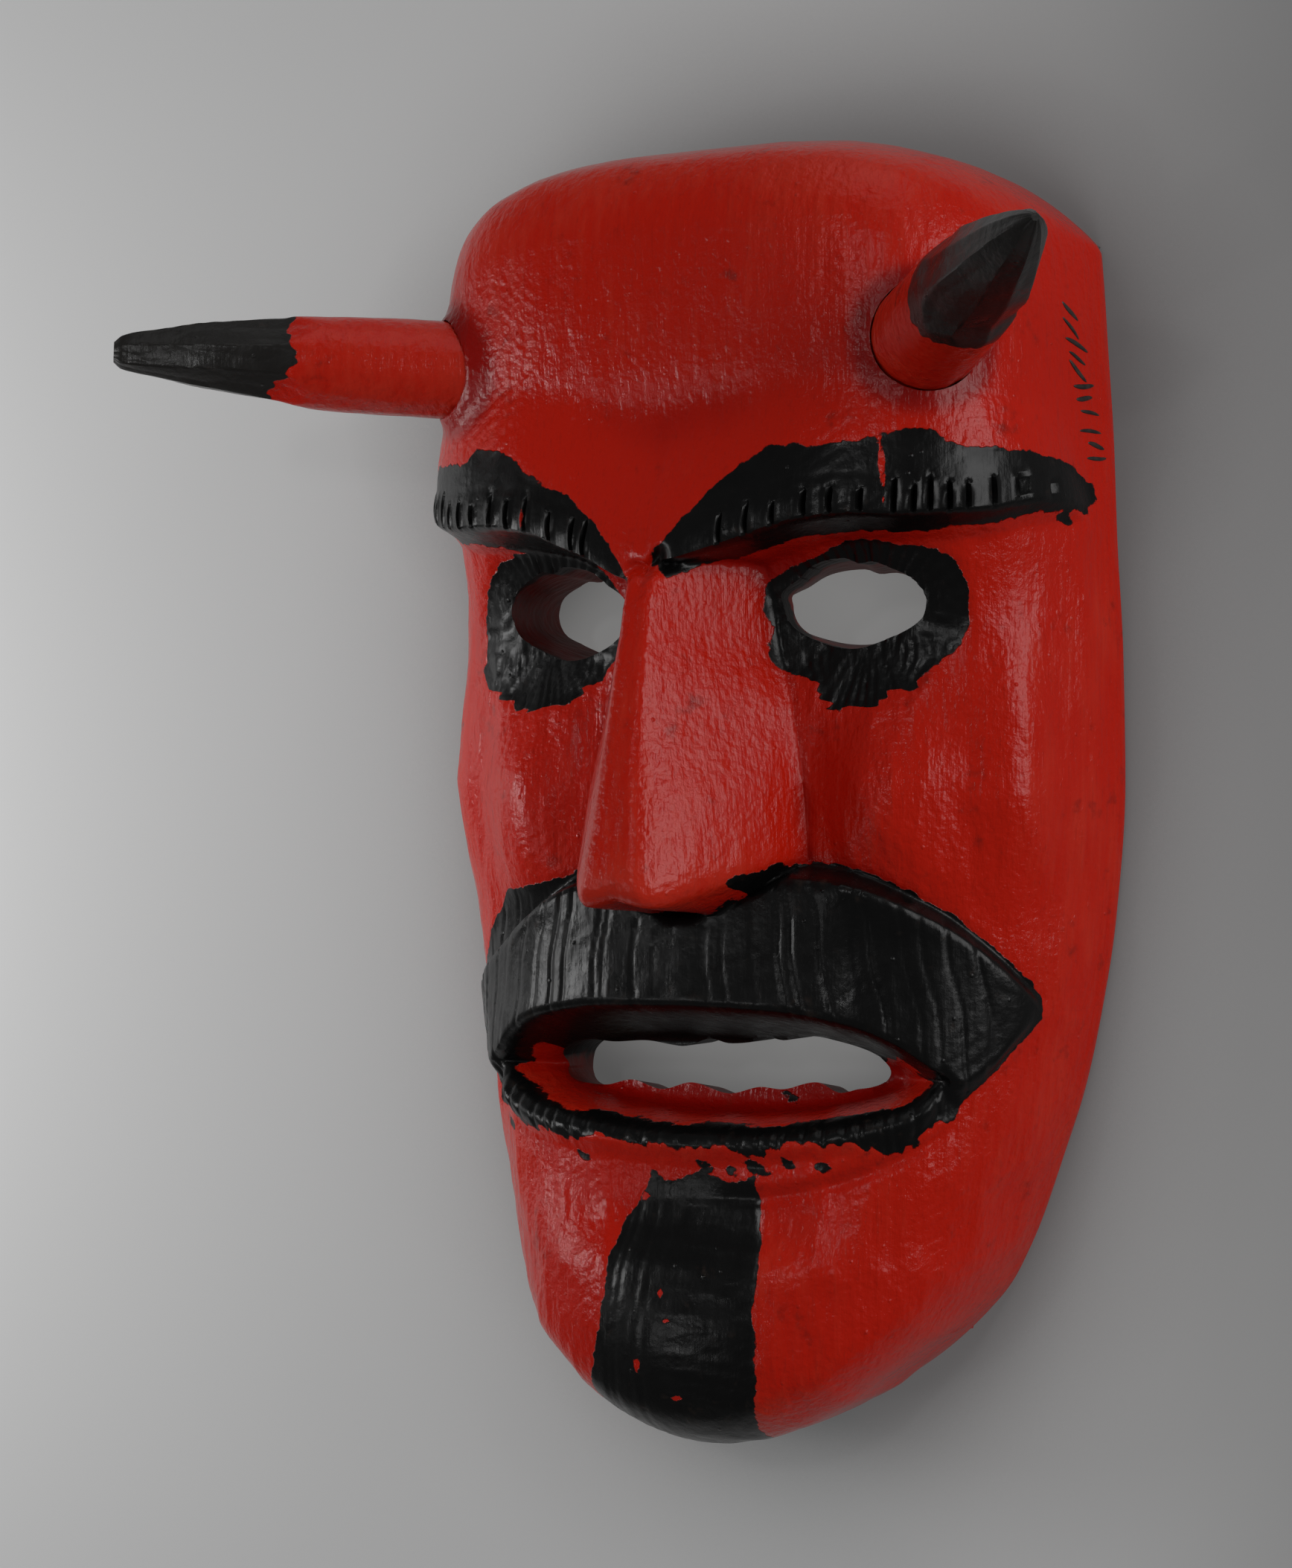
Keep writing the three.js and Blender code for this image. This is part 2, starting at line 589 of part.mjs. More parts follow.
// The socket's cutter is the horn's own round foot, a little wider, placed as the horn is.
function socketGeometry( horn ) {

	const radii = [ [ - HORN_PEG, horn.radii[ 0 ][ 1 ] ], [ 20, horn.radii[ 1 ][ 1 ] ] ];
	const socket = new THREE.Mesh( hornGeometry( { radii, facetsFrom: Infinity }, HORN_GAP ) );
	return socket.geometry.applyMatrix4( placeHorn( socket, horn ).matrix );

}

function toSolid( geometry ) {

	const bare = new THREE.BufferGeometry();
	bare.setAttribute( 'position', geometry.attributes.position );
	bare.setIndex( geometry.index );
	const merged = mergeVertices( bare, 1e-4 );
	return new wasm.Manifold( new wasm.Mesh( {
		numProp: 3,
		vertProperties: new Float32Array( merged.attributes.position.array ),
		triVerts: new Uint32Array( merged.index.array ),
	} ) );

}

function toGeometry( solid ) {

	const mesh = solid.getMesh();
	const geometry = new THREE.BufferGeometry();
	geometry.setAttribute( 'position', new THREE.BufferAttribute( mesh.vertProperties, 3 ) );
	geometry.setIndex( new THREE.BufferAttribute( mesh.triVerts, 1 ) );
	geometry.computeVertexNormals();
	return geometry;

}

function maskFace() {

	let solid = toSolid( faceGeometry() ).subtract( toSolid( hollowGeometry() ) );
	const cutters = [ ...EYES.map( eyeGeometry ), slotGeometry(), ...HORNS.map( socketGeometry ) ];
	for ( const cutter of cutters ) solid = solid.subtract( toSolid( cutter ) );
	const paint = new THREE.MeshStandardMaterial( { color: '#b0201a', roughness: 0.42, metalness: 0 } );
	const mesh = new THREE.Mesh( toGeometry( solid ), paint );
	mesh.name = 'mask_face';
	return mesh;

}

function horn( spec ) {

	const paint = new THREE.MeshStandardMaterial( { color: '#8f1d18', roughness: 0.5, metalness: 0 } );
	const mesh = new THREE.Mesh( hornGeometry( spec ), paint );
	mesh.name = spec.name;
	return placeHorn( mesh, spec );

}

const mask = new THREE.Group();
mask.add( maskFace(), ...HORNS.map( horn ) );

// The origin is under the middle of the whole object, on the surface that it lies on.
const middle = new THREE.Box3().setFromObject( mask, true ).getCenter( new THREE.Vector3() );
mask.position.set( - middle.x, - middle.y, 0 );

export default mask;
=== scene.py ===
# %% [markdown]
# # A careto: a devil's mask, carved and painted
# Carnival devils wear a mask like this one. The carver takes a block of light wood, shapes a long face
# with a gouge and a knife, hollows the back so that it sits over the wearer's own face, and pegs two
# whittled horns into the forehead. Oil paint goes on with a brush: red first, then black for the brows,
# eyes, moustache, lip and beard.
#
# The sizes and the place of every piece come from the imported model, which is the frame. This script makes
# the finer carving, the paint and the studio round it.

# %% Load the frame
import math

import bmesh
import bpy
import numpy as np
from mathutils import Matrix, Vector


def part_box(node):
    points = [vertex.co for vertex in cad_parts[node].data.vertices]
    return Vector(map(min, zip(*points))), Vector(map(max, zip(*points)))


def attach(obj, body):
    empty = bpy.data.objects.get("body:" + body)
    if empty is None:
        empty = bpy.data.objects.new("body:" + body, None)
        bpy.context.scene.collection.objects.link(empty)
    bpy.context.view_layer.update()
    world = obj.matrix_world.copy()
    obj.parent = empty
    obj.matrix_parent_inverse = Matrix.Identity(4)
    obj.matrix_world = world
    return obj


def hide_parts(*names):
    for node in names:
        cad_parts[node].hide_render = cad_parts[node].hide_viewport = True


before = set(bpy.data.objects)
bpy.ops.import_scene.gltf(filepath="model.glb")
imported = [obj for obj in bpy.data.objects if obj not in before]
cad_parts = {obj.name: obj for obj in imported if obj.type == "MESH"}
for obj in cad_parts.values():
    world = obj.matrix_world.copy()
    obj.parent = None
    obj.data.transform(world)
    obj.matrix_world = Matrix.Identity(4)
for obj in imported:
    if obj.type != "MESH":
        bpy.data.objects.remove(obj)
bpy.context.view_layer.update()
face_low, face_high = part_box("mask_face")
MM = 0.001
CROWN_RIM_Y = 122.5
MIDDLE_X = (face_low.x + face_high.x) / 2 / MM
MIDDLE_Y = face_high.y / MM - CROWN_RIM_Y
print("the face's own middle, mm:", round(MIDDLE_X, 2), round(MIDDLE_Y, 2))

# %% [markdown]
# ## Camera
# The photograph looks at the mask from its own left side, 30 degrees round from straight ahead, and from
# about 0.7 m. The mask lies on its rim here, so the camera looks down on it at the same angle to the
# face. A camera could be aimed with a constraint, but one turn about Y is all that this view needs.

# %% Camera
# Millimetres from the face's own middle. The focal length is in pixels of the photograph.
CAMERA_FROM_FACE = (318.4, 0, 610.5)
CAMERA_TURN = math.radians(30)
FOCAL_PIXELS = 4641
PHOTO_HEIGHT = 2107
SENSOR = 36


def in_frame(x, y, z):
    """A point given in millimetres from the face's own middle, in the frame's metres."""
    return Vector((x + MIDDLE_X, y + MIDDLE_Y, z)) * MM


camera_data = bpy.data.cameras.new("camera")
camera_data.sensor_width = SENSOR
camera_data.lens = FOCAL_PIXELS / PHOTO_HEIGHT * SENSOR
camera = bpy.data.objects.new("camera", camera_data)
camera.location = in_frame(*CAMERA_FROM_FACE)
camera.rotation_euler = (0, CAMERA_TURN, 0)
bpy.context.collection.objects.link(camera)
bpy.context.scene.camera = camera
print("lens, mm:", round(camera_data.lens, 1))

# %% [markdown]
# ## Curves
# A carver draws the brow, the moustache and the lip as lines before cutting them. Each such line is a
# handful of points here, joined by a smooth curve that never overshoots them, so that a point can be
# moved without waking up the rest of the line.

# %% Curves and soft steps


def curve(*points):
    """A smooth curve through the points, as a function of numbers or of whole arrays."""
    x, y = np.array(points, float).T
    gap = np.diff(x)
    slope = np.diff(y) / gap
    tangent = np.zeros(len(x))
    tangent[0], tangent[-1] = slope[0], slope[-1]
    for i in range(1, len(x) - 1):
        if slope[i - 1] * slope[i] > 0:
            before = 2 * gap[i] + gap[i - 1]
            after = gap[i] + 2 * gap[i - 1]
            tangent[i] = (before + after) / (before / slope[i - 1] + after / slope[i])

    def value(at):
        at = np.clip(at, x[0], x[-1])
        i = np.clip(np.searchsorted(x, at, side="right") - 1, 0, len(x) - 2)
        t = (at - x[i]) / gap[i]
        s = 1 - t
        rise_part = t * s * s * gap[i] * tangent[i] - t * t * s * gap[i] * tangent[i + 1]
        return (1 + 2 * t) * s * s * y[i] + t * t * (3 - 2 * t) * y[i + 1] + rise_part

    return value


def ease(t):
    t = np.clip(t, 0, 1)
    return t * t * (3 - 2 * t)


def rise(at, start, end):
    return ease((at - start) / (end - start))


def bell(t):
    return 0.5 + 0.5 * np.cos(np.pi * np.clip(t, -1, 1))


print("halfway up a soft step:", float(rise(5, 0, 10)))

# %% [markdown]
# ## The block before the features
# The face starts as a plain curved shell. Sections across it are arches, flat on the rim, and a profile
# carries them from the chin to the crown. A point on the shell has a way, from 0 at the chin's rim to 1
# at the crown's, and a distance across, measured along the arch as a tape would.
#
# The hollow at the back is a second such shell. Both could be sculpted from a cube, but lofting them from
# a few sections keeps the wall even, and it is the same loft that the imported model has, only finer.

# %% The block's form
# Each row: y at the middle, depth, half width at the rim, y at the rim, boxiness, flare of the sides.
FORM = (
    (-123, 0, 39, -105.3, 2.5, 4),
    (-124.8, 12, 43.2, -101, 2.7, 5),
    (-125.6, 33, 48, -95.3, 3, 6),
    (-117, 46.5, 53, -85.8, 3, 8),
    (-98, 48.5, 58.3, -71.5, 2.65, 10),
    (-78, 45, 63, -57.5, 2.8, 11),
    (-55, 40.5, 66.3, -43, 3.1, 12),
    (-30, 38.5, 69.2, -25, 3.2, 12),
    (0, 38.7, 71, 0, 3.9, 12),
    (28, 38.2, 70.6, 24, 4, 12),
    (55, 45.5, 69.4, 46, 4, 12),
    (80, 52, 68.7, 65, 4.4, 11),
    (103, 52.8, 67.6, 81.5, 4.5, 10),
    (117, 46.5, 66.7, 95, 4.5, 9),
    (122, 25, 66.1, 100.8, 4.5, 8),
    (CROWN_RIM_Y, 0, 65.5, 101.8, 4.5, 8),
)
# The rows of FORM at some places on the face.
CHIN_POINT = 3
CHEEKS = 8
FOREHEAD = 11
CROWN = 13
# The hollow at the back, in the same terms, with its depth measured from its own open end.
HOLLOW = (
    (-111, 0, 27, -94, 2.6, 3),
    (-111, 16, 30, -91, 2.6, 4),
    (-104, 32, 37, -82, 3, 6),
    (-84, 37, 48, -64, 3.4, 9),
    (-54, 24, 55.5, -42, 3.8, 11),
    (-28, 25, 58.5, -23, 3.8, 12),
    (4, 30, 60.3, 4, 3.8, 12),
    (34, 31, 60, 28, 3.8, 12),
    (62, 38, 59, 50, 3.6, 12),
    (88, 43, 58, 70, 3.6, 11),
    (105, 37, 57, 83, 3.6, 9),
    (111, 20, 56, 91, 3.4, 8),
    (111, 0, 55.5, 92, 3.4, 8),
)
HOLLOW_START = -6  # its open end lies this far behind the rim, and is cut off there
NOSE_HOLLOW = {"depth": 15, "half_width": 22, "half_length": 40, "y": -2}


def arch(middle_y, depth, half_width, rim_y, boxiness, flare, points=161):
    """Half of one section, from the middle to the rim, with its length first."""
    angle = np.linspace(0, np.pi / 2, 401)
    sine, cosine = np.sin(angle), np.clip(np.cos(angle), 0, 1)
    reach = (sine**boxiness + cosine**boxiness) ** (-1 / boxiness)
    x = (half_width - flare) * sine * reach + flare * (1 - cosine * reach)
    z = depth * cosine * reach
    length = np.concatenate(([0], np.cumsum(np.hypot(np.diff(x), np.diff(z)))))
    even = np.linspace(0, length[-1], points)
    x, z = np.interp(even, length, x), np.interp(even, length, z)
    z[-1] = 0
    # A section bows back towards its rim, and the crown's sections stay straight for longer.
    bend = 2 + 1.5 * np.clip((middle_y - 60) / 50, 0, 1)
    y = middle_y + (rim_y - middle_y) * (x / half_width) ** bend
    return length[-1], np.stack((x, y, z), axis=-1)


class Form:
    """A shell of arches. Everything it answers, it answers for whole arrays of points."""

    def __init__(self, rows, arches=601):
        rows = np.array(rows, float)
        along = np.cumsum(np.hypot(*np.diff(rows[:, :2], axis=0).T))
        self.ways = np.concatenate(([0], along)) / along[-1]
        values = [curve(*zip(self.ways, column)) for column in rows.T]
        made = [arch(*(value(way) for value in values)) for way in np.linspace(0, 1, arches)]
        self.lengths = np.array([length for length, _ in made])
        self.points = np.array([points for _, points in made])

    def length(self, way):
        return np.interp(way, np.linspace(0, 1, len(self.lengths)), self.lengths)

    def place(self, way, across):
        rows, columns = self.points.shape[:2]
        share = np.clip(np.abs(across) / self.length(way), 0, 1)
        row, column = way * (rows - 1), share * (columns - 1)
        i, j = (np.minimum(v.astype(int), top - 2) for v, top in ((row, rows), (column, columns)))
        up, out = (row - i)[..., None], (column - j)[..., None]
        lower = self.points[i, j] * (1 - out) + self.points[i, j + 1] * out
        upper = self.points[i + 1, j] * (1 - out) + self.points[i + 1, j + 1] * out
        place = lower * (1 - up) + upper * up
        place[..., 0] *= np.where(across < 0, -1, 1)
        return place

    def way_to(self, y, across):
        """The way at which the front of the shell reaches y, by halving."""
        low = np.full(np.shape(across), self.ways[CHIN_POINT])
        high = np.full(np.shape(across), self.ways[CROWN])
        for _ in range(18):
            middle = (low + high) / 2
            under = self.place(middle, across)[..., 1] < y
            low, high = np.where(under, middle, low), np.where(under, high, middle)
        return (low + high) / 2


block = Form(FORM)
hollow = Form(HOLLOW)
print("tape over the cheeks, mm:", round(2 * float(block.length(block.ways[CHEEKS])), 1))

# %% [markdown]
# ## The carved features
# Brows, nose, moustache, lips and mouth are heights over the plain shell, as functions of the distance
# across and of y. The carver's cuts have a soft side and a sharp side: a brow rises slowly from the
# forehead and drops steeply to the eye. Sculpting by hand could make the same forms, but not twice alike.
# One function per feature keeps each cut readable, and the highest of them wins, as when wood is left
# standing.

# %% Brows
# Each pair: distance from the middle, then the crest's y, its height over the shell or its drop to the eye.
BROW_CREST_LEFT = curve(
    (0, 43), (6, 44), (10, 45.6), (13.6, 47.2), (20, 48.6), (27, 51), (37, 52), (48, 51.6), (62, 53)
)
BROW_CREST_RIGHT = curve(
    (0, 43), (3, 46.3), (8, 47.3), (17, 49), (23, 50.4), (30, 51.6), (36, 51.8), (45, 51), (56, 50.9),
    (68, 52.3)
)
BROW_HEIGHT = curve(
    (0, 15), (2.5, 16), (6, 18), (12, 16.5), (20, 13.8), (30, 11.5), (50, 7.8), (62, 5.3), (75, 3.4),
    (88, 0)
)
BROW_DROP = curve((0, 4), (6, 7), (12, 8), (30, 7.5), (60, 6), (83, 3.5))
BROW_BLEND = 24  # how far up the forehead a brow begins to rise
# How far above the crest, and how far from the middle, the two brows run together.
BROWS_MERGE = {"above": 8, "across": 12}


def sided(across, left, right):
    """Left and right lines differ a little, because the mask is made by hand."""
    return np.where(across < 0, left(-across), right(across))


def brow_crest(across):
    return sided(across, BROW_CREST_LEFT, BROW_CREST_RIGHT)


def brow_height(across, y):
    """The two brows meet in a sharp notch at the crest, and run together softly above it."""
    side, crest = np.abs(across), brow_crest(across)
    wide = BROWS_MERGE["across"] * rise(y - crest, 0, BROWS_MERGE["above"])
    side = np.hypot(side, wide)
    to_right = rise(across, -0.01 - wide, 0.01 + wide)
    top = BROW_BLEND + BROW_CREST_LEFT(side) * (1 - to_right) + BROW_CREST_RIGHT(side) * to_right
    near = np.clip((top - y) / BROW_BLEND, 0, 1)
    start = 1.12 * near**2 / (near + 0.12)
    under = 1 - np.clip((crest - y) / BROW_DROP(side), 0, 1)
    return BROW_HEIGHT(side) * np.where(y >= crest, 0.35 * start + 0.65 * ease(near), under**1.25)


print("brow stands out beside the nose, mm:", round(float(brow_height(10.0, 48.0)), 1))

# %% [markdown]
# ## Nose
# The nose is a long wedge with a narrow flat ridge and two flanks, cut square underneath and a little
# rounded at the tip. A few curves along y give its height, its width and how far each flank bulges, so
# that it can be made longer or sharper by one number.

# %% Nose
# Each pair: y, then a height or a distance. The underside goes by the distance from the middle, then y.
NOSE_HEIGHT = curve(
    (-26, 33), (-18, 34), (-8, 32.5), (14, 28.5), (26, 26.8), (34, 25.2), (40, 23), (47, 18.5)
)
NOSE_HALF_WIDTH = curve((-24, 20), (-14, 22.5), (-4, 22), (14, 19.5), (28, 16), (38, 15), (46, 13))
RIDGE_HALF_WIDTH = curve((-24, 6), (-14, 4.2), (0, 3.3), (40, 2.6))
FLANK_BULGE = curve((-24, 1.5), (-6, 1.4), (14, 1.1), (40, 1))
NOSE_UNDERSIDE = curve((0, -22.3), (6, -23.6), (14, -19.8), (22, -14))
NOSE_TOP = 49
TIP_ROUNDING = 5


def nose_height(across, y):
    side, ridge = np.abs(across), RIDGE_HALF_WIDTH(y)
    down = np.clip((side - ridge) / (NOSE_HALF_WIDTH(y) - ridge), 0, 1)
    under = NOSE_UNDERSIDE(side)
    rounded_off = 1 - np.clip((y - under) / TIP_ROUNDING, 0, 1)
    height = NOSE_HEIGHT(y) - TIP_ROUNDING * (1 - np.sqrt(1 - rounded_off**2))
    ends = rise(y, under - 1.5, under + 1.5) * rise(NOSE_TOP - y, 0, 5)
    return height * (1 - down ** FLANK_BULGE(y)) * ends


print("nose stands out at the tip, mm:", round(float(nose_height(0.0, -18.0)), 1))

# %% [markdown]
# ## Moustache, mouth and lip
# The moustache is a slab that stands out from the face, cut off straight above the mouth, with two
# pointed ends. The mouth is sunk, and a slot goes right through its floor. The lower lip is a soft roll
# below it. A separate block could be added for the slab, but the real one is the same piece of wood, and
# so it is here.

# %% Moustache, mouth and lip
# Each pair: distance from the middle, then y or a height. The slot's pairs go from left to right.
MOUSTACHE_TOP_LEFT = curve((0, -24), (12, -20), (22, -17.5), (36, -24), (44.5, -29.5), (68.5, -41.5))
MOUSTACHE_TOP_RIGHT = curve((0, -24), (12, -20), (22, -15.6), (31, -16.3), (46, -22.8), (68.5, -40.5))
MOUSTACHE_TIP_UNDERSIDE = curve(
    (49.5, -56.5), (52.5, -58.5), (55.3, -57), (60.8, -51.7), (66, -46.5), (70, -42)
)
MOUSTACHE_HEIGHT = curve((0, 8), (30, 7), (45, 4.2), (57, 2.2), (70, 1.5))
MOUSTACHE_REACH = 70
MOUTH_HALF_WIDTH = 49.5
MOUTH_UPPER = curve((0, -41.6), (18, -42), (32, -44.1), (40, -47.3), (46, -51.4), (49.5, -54))
MOUTH_LOWER = curve((0, -65), (12, -64.8), (22, -64), (34, -62.3), (43, -59.6), (49.5, -55.4))
MOUTH_DEPTH = 13
MOUTH_UPPER_SLOPE = 6.5
MOUTH_LOWER_SLOPE = 6
LIP = {"height": 2.5, "below": 2.6, "half_width": 4.5, "reach": 52}
SLOT = {"x": -2, "y": -54, "half_width": 35.4, "bluntness": 10, "undercut": 0.16, "front_z": 27}
SLOT_UPPER = curve(
    (-37.5, -50.6), (-31, -49.9), (-26, -50.5), (-18.5, -50), (-10.3, -50.8), (-3.7, -49.1), (0, -49.9),
    (4.7, -49.5), (8.2, -48.1), (12.5, -48.8), (15.4, -48), (21.2, -47.5), (25, -48.1), (33.4, -49.2)
)
SLOT_LOWER = curve(
    (-37.5, -59.5), (-27.5, -59.1), (-21.4, -57.8), (-14.3, -59.4), (-7.8, -57.8), (0.6, -59.6), (7.7, -58),
    (11.5, -58.3), (19.1, -56.6), (24.2, -58.5), (28, -57.8), (33.4, -58)
)


def moustache_top(across):
    return sided(across, MOUSTACHE_TOP_LEFT, MOUSTACHE_TOP_RIGHT)


def moustache_height(across, y):
    side = np.abs(across)
    underside = np.where(side < MOUTH_HALF_WIDTH, -56, MOUSTACHE_TIP_UNDERSIDE(side))
    top = rise(moustache_top(across) - y, -0.6, 2.2)
    ends = rise(y - underside, -1, 4) * rise(MOUSTACHE_REACH - side, 0, 4)
    return MOUSTACHE_HEIGHT(side) * top * ends


def lip_height(across, y):
    side = np.abs(across)
    shape = bell((y - MOUTH_LOWER(side) + LIP["below"]) / LIP["half_width"])
    return LIP["height"] * shape * rise(LIP["reach"] - side, 0, 6)


def mouth_share(across, y):
    """0 outside the mouth, 1 on its sunken floor."""
    side = np.abs(across)
    under = ease((MOUTH_UPPER(side) - y) / MOUTH_UPPER_SLOPE)
    over = ease((y - MOUTH_LOWER(side)) / MOUTH_LOWER_SLOPE)
    return np.where(side < MOUTH_HALF_WIDTH, np.minimum(under, over), 0)


print("moustache stands out, mm:", round(float(moustache_height(20.0, -32.0)), 1))

# %% [markdown]
# ## The broad carving together
# Cheekbones, eye sockets and the dent under the lip are low swellings and hollows on both sides. The
# mouth is taken away last, because it cuts into everything else.

# %% All the broad carving together
# Each row: height, distance from the middle, y, half width, half height.
SWELLINGS = (
    (-2.5, 33, 33, 24, 20),
    (4.5, 38.5, -4, 16.5, 25),
    (2, 63, 2, 12, 38),
    (-2.5, 0, -80, 55, 12),
    (1.5, 0, -105, 34, 22),
)
RIM_FADE = (1, 12)


def broad_carving(across, y):
    height = np.maximum(brow_height(across, y), nose_height(across, y))
    height = np.maximum(height, moustache_height(across, y))
    for rise_by, x, middle, half_width, half_height in SWELLINGS:
        sideways = bell((np.abs(across) - x) / half_width)
        height = height + rise_by * sideways * bell((y - middle) / half_height)
    height = height + lip_height(across, y)
    inside = mouth_share(across, y)
    return height * (1 - inside) - MOUTH_DEPTH * inside


print("floor of the mouth, mm:", round(float(broad_carving(0.0, -54.0)), 1))

# %% [markdown]
# ## Tool marks
# A knife leaves shallow scoops that meet in low ridges. The nearest of many scattered points gives
# exactly that: the surface sinks towards each point and rises to the border with its neighbours. The
# scatter is seeded, so the same marks come out in every run.

# %% Scoops and gouged lines
SEED = 7


def scatter(rows, columns, seed):
    """One random point in each cell of a board, as shares of the cell."""
    return np.random.default_rng(SEED + seed).random((rows, columns, 2))


def scoops(across, y, wide, tall, seed):
    """0 in the middle of a scoop, about 1 on the ridges between scoops of this size."""
    board = scatter(90, 90, seed)
    u, v = across / wide + 45, y / tall + 45
    column, row = np.floor(u).astype(int), np.floor(v).astype(int)
    nearest = np.full(np.shape(u), 9.0)
    for down in (-1, 0, 1):
        for along in (-1, 0, 1):
            i, j = np.clip(row + down, 0, 89), np.clip(column + along, 0, 89)
            x = j + 0.15 + 0.7 * board[i, j, 0]
            z = i + 0.15 + 0.7 * board[i, j, 1]
            nearest = np.minimum(nearest, (u - x) ** 2 + (v - z) ** 2)
    return np.minimum(nearest / 0.5, 1.6)


def gouged_lines(along, pitch, width, seed, jitter=0.5):
    """Repeated cuts across a line: 1 at the bottom of a cut, 0 between the cuts."""
    number = np.floor(along / pitch).astype(int)
    shift = scatter(400, 1, seed)[:, 0, 0]
    deep = scatter(400, 1, seed)[:, 0, 1]
    cut = np.zeros(np.shape(along))
    for step in (-1, 0, 1):
        i = (number + step + 200) % 400
        middle = (number + step + 0.5 + jitter * (shift[i] - 0.5)) * pitch
        cut = np.maximum(cut, (0.45 + 0.55 * deep[i]) * bell((along - middle) / width))
    return cut


print("deepest cut of a row:", round(float(gouged_lines(np.linspace(0, 50, 500), 5, 1, 1).max()), 2))

# %% [markdown]
# ## Where the black goes
# The black is painted inside lines that mostly follow the carving. Each painted patch is a distance in
# millimetres to its own edge, above zero inside. A painted image would blur close up, and a distance
# stays sharp however near the camera comes. The brush does not follow a line exactly, so the edges are
# broken by strokes here and roughened again in the paint's own nodes.

# %% Black on the brows
# Each pair: distance from the middle, then y.
BLACK_BROW_TOP_LEFT = curve(
    (4.8, 43.7), (5.9, 46.6), (10, 50.6), (15, 54.4), (20.7, 57.7), (27.5, 60.7), (34.1, 64.5), (37.3, 65.2),
    (43.1, 64.9), (45.1, 63.2), (49.7, 62.7), (57.2, 63), (84, 53.5)
)
BLACK_BROW_TOP_RIGHT = curve(
    (0.7, 48.2), (3, 49.3), (6.9, 52.3), (9.1, 54.3), (12.4, 57.3), (18.6, 61.3), (24.1, 63.4), (38.3, 63.3),
    (42.3, 64.4), (50.6, 64.6), (54.4, 62.6), (58.2, 61.5), (71, 61.1), (81.3, 59.6), (88.4, 56.6)
)
BLACK_BROW_FOOT_LEFT = curve(
    (2, 42), (12, 41.8), (20, 41.9), (29, 42.5), (34, 43.8), (40, 45.6), (46, 47.4), (56, 47.8), (63, 50.2),
    (70, 52.5)
)
BLACK_BROW_FOOT_RIGHT = curve(
    (2, 46.5), (5, 43.5), (10, 43.8), (18, 45), (26, 46.9), (49, 47.1), (60, 48.2), (71, 49.8), (81, 51.3),
    (89.5, 52.4)
)
BROW_REACH_LEFT, BROW_REACH_RIGHT = (4.6, 85.5), (1.2, 90.5)


def smallest(*distances):
    result = distances[0]
    for distance in distances[1:]:
        result = np.minimum(result, distance)
    return result


def black_brow(across, y):
    side = np.abs(across)
    top = sided(across, BLACK_BROW_TOP_LEFT, BLACK_BROW_TOP_RIGHT)
    foot = sided(across, BLACK_BROW_FOOT_LEFT, BLACK_BROW_FOOT_RIGHT)
    start, end = (np.where(across < 0, *reach) for reach in zip(BROW_REACH_LEFT, BROW_REACH_RIGHT))
    return smallest(top - y, y - foot, side - start, end - side)


print("black above the right crest, mm:", round(float(black_brow(30.0, 54.0)), 1))

# %% Black round the eyes
EYE_RING_MIDDLE = (35, 29.8)
# Each pair: the angle about that middle in degrees, where 0 points away from the nose, and the distance.
EYE_RING_LEFT = curve(
    (-180, 19.5), (-150, 16.5), (-131, 16), (-95, 15.4), (-70, 17), (-45, 18.7), (-25, 21), (-8, 18.5),
    (18, 18), (49, 17.3), (61, 16.1), (73, 15.4), (95, 14.3), (140, 18), (180, 19.5)
)
EYE_RING_RIGHT = curve(
    (-180, 19.5), (-159, 19.8), (-149, 17.7), (-138, 16.3), (-117, 18), (-90, 16.5), (-65, 14.1),
    (-53, 15.8), (-42, 14.3), (-17, 16.7), (-2, 18.4), (11, 19.7), (31, 20.8), (42, 19.5), (64, 16),
    (115, 14.8), (143, 17.4), (163, 21.5), (180, 19.5)
)


def black_eye(across, y):
    x, z = np.abs(across) - EYE_RING_MIDDLE[0], y - EYE_RING_MIDDLE[1]
    angle = np.degrees(np.arctan2(z, x))
    strokes = 2.4 * gouged_lines(z + 0.12 * x, 1.9, 0.9, 21) * rise(-z, 7, 12)
    return np.where(across < 0, EYE_RING_LEFT(angle), EYE_RING_RIGHT(angle)) - strokes - np.hypot(x, z)


print("black beside the right eye, mm:", round(float(black_eye(48.0, 30.0)), 1))

# %% Black moustache
BLACK_MOUSTACHE_TOP_LEFT = curve(
    (14, -18), (22, -15.8), (33, -18.8), (45, -20.8), (52, -26), (60, -34), (68.5, -41)
)
BLACK_TIP_UNDERSIDE = curve((49.5, -62), (55.3, -57), (60.8, -51.7), (66, -46.5), (70, -42))


def black_moustache(across, y):
    side = np.abs(across)
    beside_nose = np.where(across < 0, BLACK_MOUSTACHE_TOP_LEFT(side), moustache_top(across) + 1.2)
    top = np.where(side < 14, NOSE_UNDERSIDE(side) - 0.6, beside_nose)
    under = np.where(side < 40, SLOT_UPPER(across) - 2, MOUTH_UPPER(side) - 3)
    bottom = np.where(side < MOUTH_HALF_WIDTH, under, BLACK_TIP_UNDERSIDE(side))
    return smallest(top - y, y - bottom, MOUSTACHE_REACH - 1.5 - side)


print("black in the moustache, mm:", round(float(black_moustache(30.0, -32.0)), 1))

# %% Black lip, and the dabs beside it
BLACK_LIP = {"above": 1.2, "thick": 4.6, "thicker_at_ends": 3.4, "reach": 52.5}
